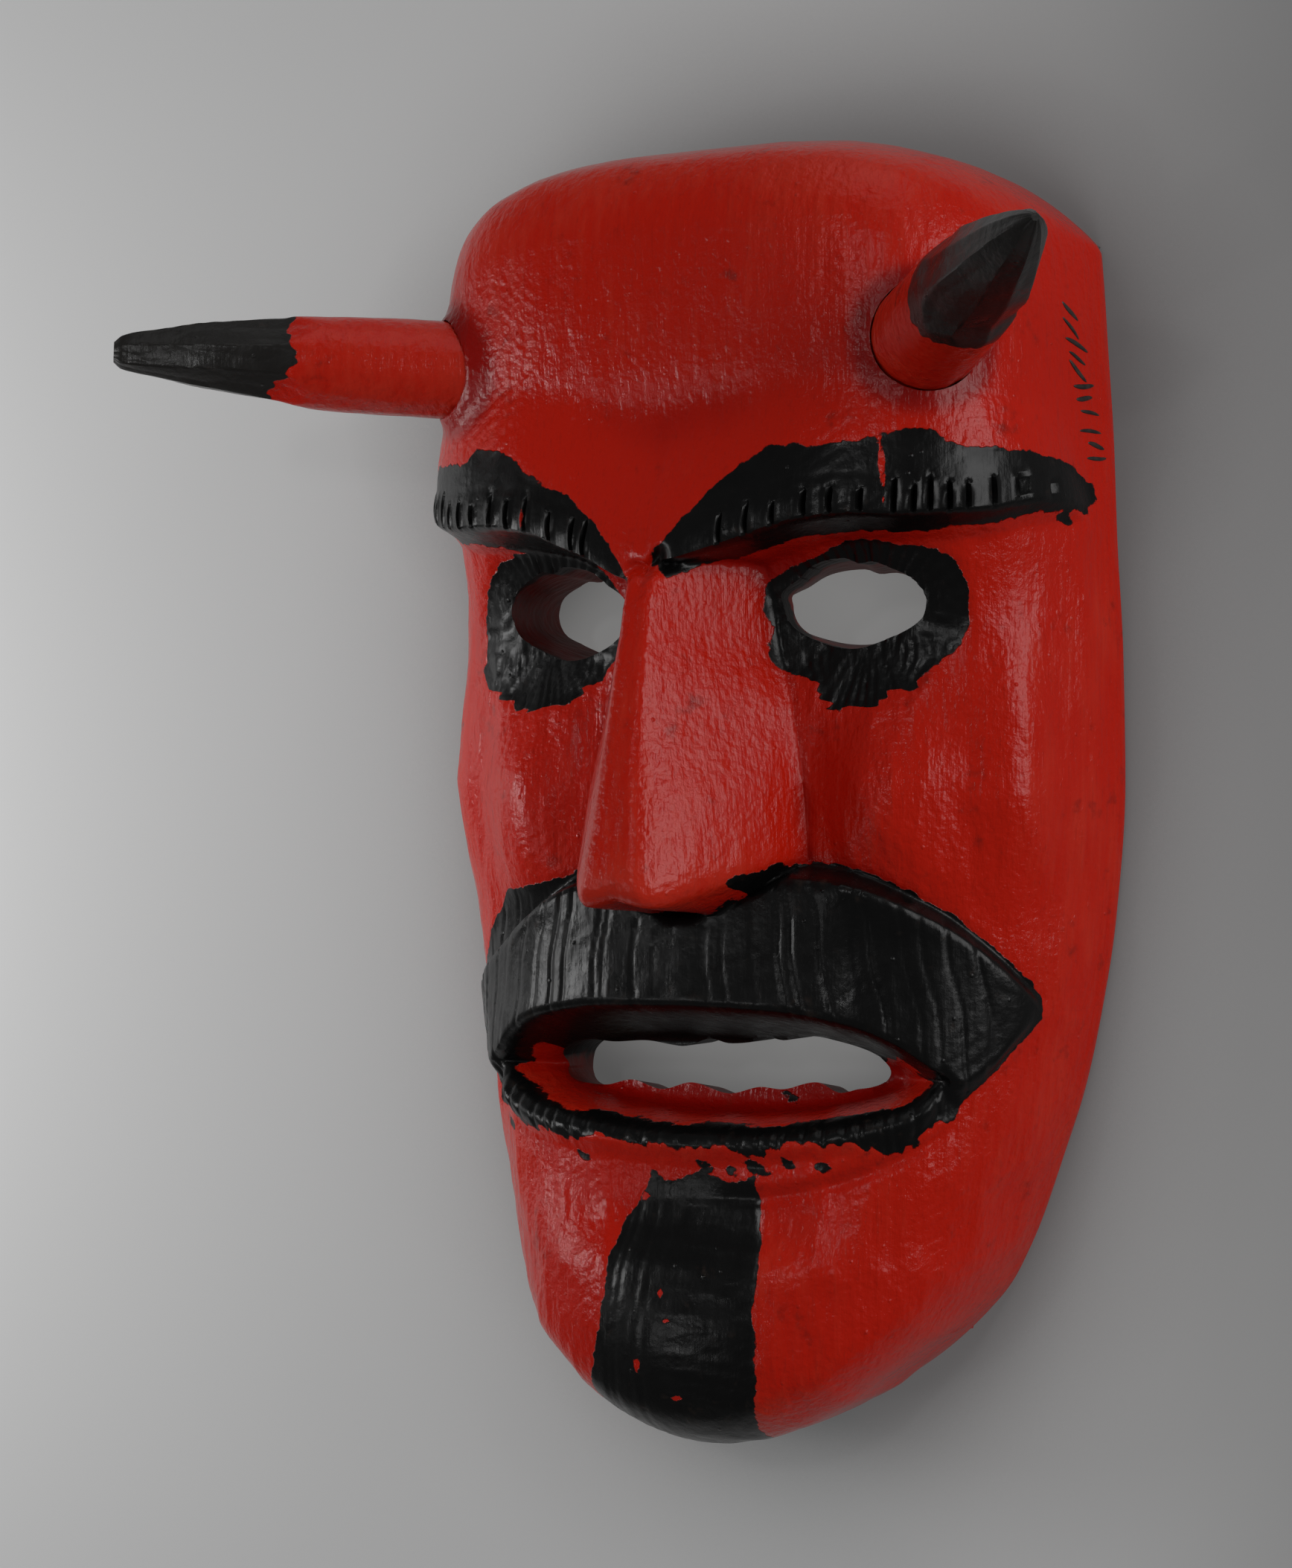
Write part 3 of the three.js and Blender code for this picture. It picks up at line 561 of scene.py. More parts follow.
# Each row: distance across, y, half width and half height of a small dab beside the patches.
BLACK_DABS = (
    (15, -57.6, 2, 0.8),
    (79, 49, 2.6, 0.9),
    (84.5, 51, 1.8, 0.8),
    (-47, -66.5, 1.6, 0.9),
    (44, -65.6, 2.2, 1.1),
    (-24, -70.8, 2.2, 0.9),
    (4, -71.4, 2, 0.9),
    (9.5, -72.2, 1.6, 0.8),
    (15.5, -71.8, 2.6, 0.9),
    (22, -71, 1.7, 0.8),
    (28, -70.6, 2.3, 0.9),
)
DAB_SLANT = 0.35


def black_lip(across, y):
    side = np.abs(across)
    top = MOUTH_LOWER(side) + BLACK_LIP["above"] + 0.5 * np.sin(across / 3.7)
    thick = BLACK_LIP["thick"] + BLACK_LIP["thicker_at_ends"] * rise(side, 26, 48)
    uneven = 0.5 * np.sin(across / 5.3) + 0.4 * np.sin(across / 2.1 + 1)
    bottom = top - thick - uneven - 0.9 * gouged_lines(across + 0.6 * y, 3.7, 1.3, 23)
    return smallest(top - y, y - bottom, BLACK_LIP["reach"] - side)


def black_dabs(across, y):
    dabs = [
        (1 - np.hypot((across - x) / wide, (y - up + DAB_SLANT * (across - x)) / high)) * high
        for x, up, wide, high in BLACK_DABS
    ]
    return -smallest(*(-dab for dab in dabs))


print("dabs of black:", len(BLACK_DABS))

# %% Black beard, and all the black together
BEARD_LEFT = curve((-130, -23), (-114.2, -20.4), (-102.4, -16.4), (-84.5, -13.8), (-73.3, -8))
BEARD_RIGHT = curve((-130, 12), (-121.4, 13.7), (-109, 16.7), (-89.2, 16.8), (-73.7, 14.5))
BEARD_TOP = -73.6


def black_beard(across, y):
    top = BEARD_TOP + 0.8 * np.sin(across / 1.9)
    return smallest(top - y, across - BEARD_LEFT(y), BEARD_RIGHT(y) - across)


def black(across, y):
    """How far inside a black patch a point is, in millimetres, or below zero outside them all."""
    painted = (black_brow, black_eye, black_moustache, black_lip, black_beard, black_dabs)
    return -smallest(*(-patch(across, y) for patch in painted))


print("black at the beard's middle, mm:", round(float(black(0.0, -95.0)), 1))

# %% [markdown]
# ## The finer carving
# Up close, each part has its own cuts: notches along the brows, lines down the moustache, short rays
# round the eyes, cuts along the lip, a fold from the right corner of the mouth down under the lip, and
# ripples over the beard and the red, where the grain pushed the gouge about. Bump in the paint would be
# cheaper, but it would leave the edges and the shadows smooth. Here the cuts are real relief, from a
# tenth of a millimetre deep to about one and a half at the notches.

# %% Notches along the brows
# Counted in columns of the grid that the face is made of, so that each notch falls on one column.
NOTCHES = {"first": 24, "apart": (5, 10), "count": 20, "depth": (0.5, 1), "height": (2.2, 3.8)}
MOST_COLUMNS = 200


def brow_notches(across, y, column):
    """A row of pits just above each crest. Each lies on one column, with a lip on either side."""
    side, up = np.abs(across), y - brow_crest(across)
    row = rise(side, 5, 8) * rise(80 - side, 0, 5)
    random = np.random.default_rng(SEED)
    depth, height = np.zeros((2, MOST_COLUMNS)), np.full((2, MOST_COLUMNS), 3.0)
    for brow in (0, 1):
        places = NOTCHES["first"] + np.cumsum(random.integers(*NOTCHES["apart"], NOTCHES["count"]))
        depth[brow, places] = random.uniform(*NOTCHES["depth"], len(places))
        for beside in (-1, 0, 1):
            height[brow, places + beside] = random.uniform(*NOTCHES["height"], len(places))
    left, number = (across < 0).astype(int), np.abs(column)
    lens = np.clip(1 - (up / height[left, number] - 0.9) ** 2, 0, 1)
    lip = np.maximum(depth[left, number - 1], depth[left, number + 1])
    return (0.5 * lip - 1.7 * depth[left, number]) * lens * row


print("notches along each brow:", NOTCHES["count"])

# %% Lines of the moustache
# The last line of this cell, like those of the next ones, measures the deepest cut along one stretch.


def moustache_lines(across, y):
    side = np.abs(across)
    edge = MOUTH_UPPER(side)
    slab = rise(black_moustache(across, y), 0.5, 2.5) * rise(y, edge - 3, edge - 0.5)
    lean = 0.18 * (y + 32) * np.clip(across / 40, -1, 1)
    tip = rise(side, MOUTH_HALF_WIDTH - 1, MOUTH_HALF_WIDTH + 1)
    reach = np.maximum(slab, tip * (moustache_height(across, y) > 1))
    thin = gouged_lines(across + lean + 0.4 * np.sin(y / 3), 4.3, 0.75, 3, 0.8) ** 1.5
    shallow = gouged_lines(across + lean, 6.5, 2.6, 7, 0.8)
    return -(0.36 * thin + 0.1 * shallow) * reach


def deepest(cuts):
    return round(-float(cuts.min()), 2)


print("lines of the moustache, mm:", deepest(moustache_lines(np.linspace(-40, 40, 400), -32.0)))

# %% Rays round the eyes, and cuts along the lip


def eye_rays(across, y):
    x, z = np.abs(across) - EYE_RING_MIDDLE[0], y - EYE_RING_MIDDLE[1]
    inside = black_eye(across, y)
    return -0.5 * gouged_lines(np.degrees(np.arctan2(z, x)) * 0.3, 2.4, 0.65, 4) * rise(inside, -0.5, 1)


def lip_cuts(across, y):
    return -0.55 * gouged_lines(across + 0.2 * y, 3.4, 1, 5) * rise(black_lip(across, y), 0, 1.5)


print("rays, mm:", deepest(eye_rays(np.linspace(20, 50, 400), 20.0)))
print("cuts along the lip, mm:", deepest(lip_cuts(np.linspace(-40, 40, 400), -66.0)))

# %% Ripples of the beard and the forehead


def ripples(across, y):
    beard = rise(black_beard(across, y), -1, 1)
    right_half = rise(across, -7, 3)
    tool = -0.35 * gouged_lines(y + 0.08 * across, 2.6, 1.3, 6, 0.4) * beard * right_half
    tool = tool - 0.2 * gouged_lines(across - 0.1 * y, 3.4, 1, 8, 0.8) * beard * (1 - right_half)
    warp = 3 * np.sin(across / 13) + 2 * np.sin(y / 11 + across / 29)
    grain = 0.1 * np.sin((y - 0.45 * across + warp) * 2 * np.pi / 2.9)
    patchy = ease(scoops(across, y, 17, 13, 14)) * (0.5 + 0.5 * rise(y, 58, 70))
    return tool + grain * patchy * rise(118 - y, 0, 10) * rise(78 - np.abs(across), 0, 20)


print("ripples of the beard, mm:", deepest(ripples(5.0, np.linspace(-110, -80, 400))))

# %% The fold under the lip
CHIN_FOLD = curve((0, -77), (14, -77), (30, -74), (42, -69.5), (54, -63))


def chin_fold(across, y):
    """The crease that runs from the right corner of the mouth down under the lip."""
    below = CHIN_FOLD(across) - y
    reach = rise(across, 2, 14) * rise(54 - across, 0, 6)
    return (0.5 * bell((below + 3.4) / 3) - 0.8 * bell(below / 2.2)) * reach


print("the fold, mm:", deepest(chin_fold(30.0, np.linspace(-80, -65, 400))))

# %% Knife facets, and all the finer carving together


def knife_facets(across, y):
    """Three sizes of scoop. They are quiet under the black, down the nose and on the forehead."""
    broad = 0.38 * scoops(across, y, 9, 15, 11) + 0.14 * scoops(across, y, 4, 9, 12)
    broad = broad + 0.45 * scoops(across, y, 16, 22, 13)
    quiet = 1 - 0.6 * rise(black(across, y), -1, 1)
    beside_nose = 0.25 + 0.75 * rise(np.abs(across), 8, 18)
    return broad * quiet * beside_nose * (1 - 0.6 * rise(y, 54, 66))


def fine_carving(across, y, column):
    cuts = brow_notches(across, y, column) + moustache_lines(across, y) + eye_rays(across, y)
    cuts = cuts + lip_cuts(across, y) + ripples(across, y) + chin_fold(across, y)
    return cuts + knife_facets(across, y)


print("knife facets, mm:", round(float(knife_facets(np.linspace(-60, 60, 400), 10.0).max()), 2))

# %% [markdown]
# ## The face's surface
# A grid is pulled over the shell. Its rows run along the lines of the carving and its columns along the
# sides of the nose, so that every sharp edge lies on a row or a column and comes out crisp, not stepped.
# A sculpted and remeshed surface would need far more faces for the same edges.

# %% Rows along the carving
LINE_GAP = 0.8


def at_row(row):
    return lambda across: np.full(np.shape(across), block.ways[row])


def at_y(line):
    return lambda across: block.way_to(line(across), across)


def mirrored(line):
    return lambda across: line(np.abs(across))


def above(line, lower):
    return lambda across: np.maximum(line(across), lower(across) + LINE_GAP)


def upper_edge(across):
    side = np.abs(across)
    share = rise(side, 17, 23)
    return NOSE_UNDERSIDE(side) * (1 - share) + moustache_top(across) * share


lip_line = mirrored(
    curve((0, -65), (22, -64), (43, -60), (49, -60), (52.5, -59.5), (55.3, -57.5), (66, -47), (100, -45))
)
slot_lower = above(mirrored(curve((0, -59), (30, -58.2), (43, -56), (49.5, -54.9))), lip_line)
slot_upper = above(mirrored(curve((0, -49), (30, -49.6), (40, -51.3), (49.5, -53.4))), slot_lower)
mouth_line = above(mirrored(MOUTH_UPPER), slot_upper)
slab_line = above(lambda across: upper_edge(across) - 2, mouth_line)
lip_foot = mirrored(lambda side: MOUTH_LOWER(side) - LIP["below"] - LIP["half_width"])
brow_foot = lambda across: brow_crest(across) - BROW_DROP(np.abs(across))

# Each row: the line, and the number of steps up to it from the line before.
FACE_LINES = (
    (at_row(0), 0),
    (at_row(CHIN_POINT), 26),
    (at_y(lip_foot), 46),
    (at_y(lip_line), 12),
    (at_y(slot_lower), 8),
    (at_y(slot_upper), 9),
    (at_y(mouth_line), 12),
    (at_y(slab_line), 22),
    (at_y(lambda across: upper_edge(across) + 1.4), 8),
    (at_y(brow_foot), 60),
    (at_y(brow_crest), 12),
    (at_y(lambda across: brow_crest(across) + 6.4), 17),
    (at_row(FOREHEAD), 24),
    (at_row(CROWN), 24),
    (at_row(len(FORM) - 1), 16),
)
COLUMN_STEPS = (4, 26, 50, 42, 20)


def steps_between(counts):
    """Even steps between neighbouring stops: the number of the lower stop, and the share of the way on."""
    stops = [np.full(count, stop) for stop, count in enumerate(counts)]
    shares = [np.arange(count) / count for count in counts]
    return np.concatenate((*stops, [len(counts) - 1])), np.concatenate((*shares, [1.0]))


def column_stops(way, y):
    """Middle, nose ridge, nose crease, cheek, side and rim, as distances across."""
    length = block.length(way)
    crease = np.minimum(np.maximum(NOSE_HALF_WIDTH(y), 8 + 12 * rise(y, 45, 75)), 0.25 * length)
    ridge = np.minimum(RIDGE_HALF_WIDTH(y), 0.06 * length)
    return np.stack((0 * length, ridge, crease, 0.45 * length, 0.66 * length, length))


def face_grid(passes=6):
    """The way and the distance across of every point of the grid."""
    counts = [steps for _, steps in FACE_LINES[1:]]
    row_stop, row_share = steps_between(counts)
    half_stop, half_share = steps_between(COLUMN_STEPS)
    stop = np.concatenate((half_stop[:0:-1], half_stop))
    share = np.concatenate((half_share[:0:-1], half_share))
    side = np.where(np.arange(len(stop)) < len(half_stop) - 1, -1, 1)
    across = np.tile(side * (stop + share) * 20.0, (len(row_stop), 1))
    way = np.zeros(across.shape)
    columns = np.arange(len(stop))
    for _ in range(passes):
        for number in range(len(counts)):
            rows = row_stop == number
            low, high = (FACE_LINES[line][0](across[rows]) for line in (number, number + 1))
            way[rows] = low + (high - low) * row_share[rows][:, None]
        stops = column_stops(way, block.place(way, across)[..., 1])
        inner, outer = (stops[step, :, columns].T for step in (stop, stop + 1))
        across = side * (inner + (outer - inner) * share)
    return way, across


way, across = face_grid()
print("grid of the face:", way.shape)

# %% Where the horns stand
# Radii are given by distance from the forehead. The paint builds up a thick collar round the left horn, and
# a thin one round the right.
HORN_PEG = 8
HORNS = {
    "horn_left": {
        "foot": (-52, 81, 43),
        "direction": (-0.78, 0.035, 0.61),
        "radius": curve(
            (-8, 9.4), (0, 9.6), (14, 9.4), (30, 8.8), (40, 8), (50, 6.8), (58, 5.2), (65, 3.6), (66.5, 2.2)
        ),
        "length": 66.5,
        "facets_from": 30,
        "black_from": 34,
        "black_lean": 2,
        "gap": 0.06,
        "collar": 1.8,
    },
    "horn_right": {
        "foot": (49.5, 81, 43.5),
        "direction": (0.643, 0.161, 0.748),
        "radius": curve(
            (-8, 9.8), (0, 10), (14, 9.8), (28, 9.6), (38, 9.3), (48, 7.8), (58, 5.2), (66, 2), (68, 0.8)
        ),
        "length": 68,
        "facets_from": 28,
        "black_from": 24,
        "black_lean": 1,
        "gap": 0.3,
        "collar": 0.3,
    },
}
COLLAR_WIDTH = 4.5


def from_horn(place, horn):
    """How far points are from a horn's side, in millimetres."""
    direction = np.array(horn["direction"]) / np.linalg.norm(horn["direction"])
    from_axis = np.linalg.norm(np.cross(place - np.array(horn["foot"]), direction), axis=-1)
    return from_axis - float(horn["radius"](0))


def collars(place):
    total = 0
    for horn in HORNS.values():
        near = 1 - np.clip(from_horn(place, horn) / COLLAR_WIDTH, 0, 1)
        total = total + horn["collar"] * near**2
    return total


print("horns, mm long:", [horn["length"] for horn in HORNS.values()])

# %% Carve the grid
RIM_ROUND = (0.5, 1.2)
# The nose stands far out, so the direction it is raised in has to turn slowly, or its rows crowd together.
STEADY_STEPS = 8
# Painted shade: how far each point lies lower than its surroundings, and more round the horns' feet.
# The paint darkens its red by this, and wears it on edges, where the value is below zero.
SHADE_IN_RECESSES = {"steps": 4, "softened": 3, "at_horns": 1.4, "within": 7}


def outward(place):
    """The direction out of a grid of points, at each of them."""
    normal = np.cross(np.gradient(place, axis=1), np.gradient(place, axis=0))
    return normal / np.linalg.norm(normal, axis=-1, keepdims=True)


def blurred(values, reach, times=2):
    """Each point of a grid averaged with its neighbours, a few steps each way."""
    for axis in (0, 1) * times:
        widths = [(reach + 1, reach) if a == axis else (0, 0) for a in range(values.ndim)]
        total = np.cumsum(np.pad(values, widths, "edge"), axis=axis)
        size = values.shape[axis]
        ends = total.take(range(2 * reach + 1, 2 * reach + 1 + size), axis=axis)
        values = (ends - total.take(range(size), axis=axis)) / (2 * reach + 1)
    return values


shell = block.place(way, across)
shell_y = shell[..., 1].copy()
fade = rise(shell[..., 2], *RIM_FADE)
column = np.tile(np.arange(across.shape[1]) - across.shape[1] // 2, (len(across), 1))
carving = blurred(broad_carving(across, shell_y), 1, 1) + fine_carving(across, shell_y, column)
carving = carving + collars(shell)
rounding, rounded_below = RIM_ROUND
near_rim = 1 - np.clip(shell[..., 2] / rounded_below, 0, 1)
lift = carving * fade - rounding * (1 - np.sqrt(1 - near_rim**2))
raised_along = outward(shell)
raised_along += (blurred(raised_along, STEADY_STEPS) - raised_along) * fade[..., None]
face_points = shell + raised_along * lift[..., None]
face_points[..., 2] = np.where(shell[..., 2] > 0, face_points[..., 2], 0)
sunk = (blurred(face_points, SHADE_IN_RECESSES["steps"]) - face_points) * outward(face_points)
recess = blurred(sunk.sum(axis=-1), SHADE_IN_RECESSES["softened"], 1)
# Painted shade round the feet of the horns.
for horn in HORNS.values():
    recess += SHADE_IN_RECESSES["at_horns"] * bell(from_horn(shell, horn) / SHADE_IN_RECESSES["within"])
print("deepest recess and sharpest edge, mm:", round(float(recess.max()), 2), round(float(recess.min()), 2))

# %% [markdown]
# ## The shell
# Each sheet is a plain bmesh grid whose points are moved into place. The hollow's sheet starts a little
# behind the rim and is cut off level with it, and the two open edges are bridged, which makes the flat
# rim. Every corner of every face keeps where it lies on the face in a UV map: the paint reads it later,
# and the cuts for the eyes carry it along.

# %% Sheets of the shell
HOLLOW_ZONE, RIM_ZONE, WALL_ZONE = 1000, 2000, 3000
HOLLOW_STEPS = (90, 84)


def linked_object(shape, name):
    """Makes an object of a finished bmesh shape, links it to the scene and frees the shape."""
    mesh = bpy.data.meshes.new(name)
    shape.to_mesh(mesh)
    shape.free()
    made = bpy.data.objects.new(name, mesh)
    bpy.context.collection.objects.link(made)
    return made


def add_sheet(shape, points, across_map, up_map, recess_map):
    """Adds a grid to the bmesh shape, moves its points into place and keeps its maps."""
    rows, columns = points.shape[:2]
    made = bmesh.ops.create_grid(shape, x_segments=columns - 1, y_segments=rows - 1, size=1)
    face_map, shade_and_wear_map = (shape.loops.layers.uv[name] for name in ("face_map", "shade_and_wear_map"))
    for vert in made["verts"]:
        j = round((vert.co.x + 1) / 2 * (columns - 1))
        i = round((vert.co.y + 1) / 2 * (rows - 1))
        vert.co = in_frame(*points[i, j])
        for loop in vert.link_loops:
            loop[face_map].uv = (across_map[i, j], up_map[i, j])
            loop[shade_and_wear_map].uv = (recess_map[i, j], 0)
    return made["verts"]


def hollow_points():
    """The hollow's sheet, with the marks of a round gouge, and its two maps."""
    up, over = HOLLOW_STEPS
    way, share = np.meshgrid(np.linspace(0, 1, up + 1), np.linspace(1, -1, over + 1), indexing="ij")
    across = share * hollow.length(way)
    points = hollow.place(way, across)
    x, y, z = np.moveaxis(points, -1, 0)
    nose = bell(x / NOSE_HOLLOW["half_width"]) * bell((y - NOSE_HOLLOW["y"]) / NOSE_HOLLOW["half_length"])
    marks = 0.9 * scoops(across, y, 9, 16, 31) * rise(z, 4, 14)
    points[..., 2] += HOLLOW_START + (NOSE_HOLLOW["depth"] * nose - marks) * rise(z, *RIM_FADE)
    return points, across + HOLLOW_ZONE, y, 0 * y


shape = bmesh.new()
for name in ("face_map", "shade_and_wear_map"):
    shape.loops.layers.uv.new(name)
add_sheet(shape, face_points, across, shell_y, recess)
inner_verts = add_sheet(shape, *hollow_points())
inner_faces = list({face for vert in inner_verts for face in vert.link_faces})
inner_edges = list({edge for vert in inner_verts for edge in vert.link_edges})
sheet = [*inner_verts, *inner_edges, *inner_faces]
cut = bmesh.ops.bisect_plane(shape, geom=sheet, plane_co=(0, 0, 0), plane_no=(0, 0, 1), clear_inner=True)
open_edges = [edge for edge in shape.edges if edge.is_boundary]
rim = bmesh.ops.bridge_loops(shape, edges=open_edges)
inner_side = {vert for vert in cut["geom_cut"] if isinstance(vert, bmesh.types.BMVert)}
for face in rim["faces"]:
    for loop in face.loops:
        loop[shape.loops.layers.uv["face_map"]].uv = (RIM_ZONE, loop.vert in inner_side)
bmesh.ops.recalc_face_normals(shape, faces=shape.faces)
left_open = sum(edge.is_boundary for edge in shape.edges)
mask = linked_object(shape, "carved_face")
print("shell faces:", len(mask.data.polygons), "open edges:", left_open)

# %% [markdown]
# ## Cutting the holes
# The eye holes, the mouth slot and the horns' sockets are cut through with booleans, as a carver drills
# and cuts them last. Each cutter is a tube whose sides are pushed into the hole's outline. The eye holes
# are almonds that open out towards the back, a little uneven, because a knife made them.

# %% A tube, and the cutters made from it
EYES = (
    {"x": -31, "y": 32.8, "half_width": 13.8, "half_height": 9.2},
    {"x": 32, "y": 33.3, "half_width": 13.4, "half_height": 8.5},
)
EYE_OPENING = {"inwards": 5, "wider": 4, "taller": -1.6}
# The almond's unevenness, by the angle from the outer corner.
EYE_SHAPE = curve(
    (0, 1), (10, 1.016), (30, 1.026), (52, 0.99), (66, 1), (78, 0.9), (90, 1), (115, 0.984), (140, 0.915),
    (167, 1.026), (180, 0.98), (202, 0.98), (237, 0.946), (270, 0.98), (302, 0.894), (343, 0.984), (360, 1)
)
EYE_FRONT_Z = 36
EYE_BACK_Z = 22


def add_tube(shape, segments, levels):
    """Adds a closed cylinder, one in radius and from -1 to 1 in z, with its sides cut into levels."""
    bmesh.ops.create_cone(shape, cap_ends=True, segments=segments, radius1=1, radius2=1, depth=2)
    if levels > 1:
        sides = [edge for edge in shape.edges if abs(edge.verts[0].co.z - edge.verts[1].co.z) > 1]
        bmesh.ops.subdivide_edges(shape, edges=sides, cuts=levels - 1)


def cutter(name, segments, low_z, high_z, outline, levels=1):
    """A tube pushed into an outline: outline(angle, z) gives x and y in millimetres."""
    shape = bmesh.new()
    face_map = shape.loops.layers.uv.new("face_map")
    shape.loops.layers.uv.new("shade_and_wear_map")
    add_tube(shape, segments, levels)
    for vert in shape.verts:
        angle = math.atan2(vert.co.y, vert.co.x)
        z = low_z + (vert.co.z + 1) / 2 * (high_z - low_z)
        vert.co = in_frame(*outline(angle, z), z)
    for face in shape.faces:
        for loop in face.loops:
            loop[face_map].uv = (WALL_ZONE, 0)
    return linked_object(shape, name)


def eye_outline(eye):
    def outline(angle, z):
        back = (EYE_FRONT_Z - z) / (EYE_FRONT_Z - EYE_BACK_Z)
        x = eye["x"] - math.copysign(EYE_OPENING["inwards"] * back, eye["x"])
        from_corner = angle if eye["x"] > 0 else math.pi - angle
        uneven = float(EYE_SHAPE(math.degrees(from_corner) % 360))
        wide = (eye["half_width"] + EYE_OPENING["wider"] * max(back, 0)) * uneven
        high = (eye["half_height"] + EYE_OPENING["taller"] * max(back, 0)) * uneven
        return x + wide * math.cos(angle), eye["y"] + high * math.sin(angle)

    return outline


def slot_outline(angle, z):
    share = math.cos(angle)
    x = SLOT["x"] + SLOT["half_width"] * share
    drop = SLOT["undercut"] * (SLOT["front_z"] - z)
    edge = SLOT_UPPER(x) if angle >= 0 else SLOT_LOWER(x) - drop
    end = (1 - abs(share) ** SLOT["bluntness"]) ** 0.5
    return x, SLOT["y"] + (float(edge) - SLOT["y"]) * end


cutters = [cutter("eye_cutter", 96, 8, EYE_FRONT_Z + 14, eye_outline(eye), levels=8) for eye in EYES]
cutters.append(cutter("slot_cutter", 240, -2, 66, slot_outline))
print("cutters:", [made.name for made in cutters])

# %% Horn sockets


def horn_place(horn):
    """The turn and move that put a horn, made upright, into its socket."""
    turn = Vector((0, 0, 1)).rotation_difference(Vector(horn["direction"]).normalized())
    return Matrix.Translation(in_frame(*horn["foot"])) @ turn.to_matrix().to_4x4()


def socket_cutter(name, horn):
    radius = float(horn["radius"](0)) + horn["gap"]

    def circle(angle, z):
        return radius * math.cos(angle), radius * math.sin(angle)

    made = cutter(name, 96, -HORN_PEG - horn["gap"], 20, circle)
    made.data.transform(horn_place(horn) @ Matrix.Translation(-in_frame(0, 0, 0)))
    return made


cutters += [socket_cutter(name + "_socket", horn) for name, horn in HORNS.items()]
print("sockets:", [made.name for made in cutters[-2:]])

# %% Cut


def cut_with(piece, cutters):
    """Cuts each cutter out of the piece and removes the cutter."""
    for cutter in cutters:
        modifier = piece.modifiers.new("cut", "BOOLEAN")
        modifier.operation = "DIFFERENCE"
        modifier.solver = "EXACT"
        modifier.object = cutter
    view = bpy.context.evaluated_depsgraph_get()
    finished = bpy.data.meshes.new_from_object(piece.evaluated_get(view))
    piece.modifiers.clear()
    piece.data = finished
    for cutter in cutters:
        bpy.data.objects.remove(cutter)


cut_with(mask, cutters)
print("faces after cutting:", len(mask.data.polygons))

# %% [markdown]
# ## Which paint lies where
# A boolean keeps the UV maps, so each face still says where it comes from: the painted face, the hollow,
# the rim or the wall of a hole. From the same maps every point gets two values for the materials to read:
# how far inside a black patch it lies, and how deep it sits in a recess. The paint darkens its red by the
# second, which is painted shade, and wears the edges where it is below zero.

# %% Zones and point values
ZONES = {"face": 500, "hollow": 1500, "rim": 2500, "wall": 3500}
# Each row: distance across, y, half width and half height of a chip in the black, in millimetres.
CHIPS = (
    (42.6, 58.8, 0.55, 4.6),
    (-28.5, 54.5, 0.4, 1.8),
    (-2.6, -95.4, 0.6, 0.9),
    (-1.3, -100.4, 0.9, 0.5),
    (-8, -109.4, 0.7, 1.1),
    (0, -114.7, 1.1, 0.6),
    (-9.6, -77.8, 1, 0.6),
)


def corner_values(mesh, name):
    values = np.empty(2 * len(mesh.loops), np.float32)
    mesh.uv_layers[name].uv.foreach_get("vector", values)
    return values.reshape(-1, 2)


def point_values(mesh, name, values):
    """Stores one number for each point of a mesh, for its material to read."""
    layer = mesh.attributes.new(name, "FLOAT", "POINT")
    layer.data.foreach_set("value", np.asarray(values, np.float32))


corners = corner_values(mask.data, "face_map")
# The recess value, carried through the cuts: painted shade in hollows, and wear on the edges.
shade_and_wear = corner_values(mask.data, "shade_and_wear_map")
corner_point = np.empty(len(mask.data.loops), np.int32)
mask.data.loops.foreach_get("vertex_index", corner_point)
first_corner = np.empty(len(mask.data.polygons), np.int32)
mask.data.polygons.foreach_get("loop_start", first_corner)
zone = np.searchsorted(list(ZONES.values()), corners[:, 0])
mask.data.polygons.foreach_set("material_index", zone[first_corner].astype(np.int32))

painted = zone == 0
chips = [np.hypot((corners[:, 0] - x) / wide, (corners[:, 1] - y) / high) - 1 for x, y, wide, high in CHIPS]
chipped = smallest(*chips)
inside_black = np.minimum(black(corners[:, 0], corners[:, 1]), chipped)
points = len(mask.data.vertices)
black_at, recess_at = np.full(points, -20.0), np.zeros(points)
black_at[corner_point[painted]] = inside_black[painted]
recess_at[corner_point[painted]] = shade_and_wear[painted, 0]
point_values(mask.data, "black", black_at)
point_values(mask.data, "recess", recess_at)
mask.data.shade_smooth()
mask.data.set_sharp_from_angle(angle=math.radians(50))
print("share of the face that is black:", round(float((inside_black[painted] > 0).mean()), 2))
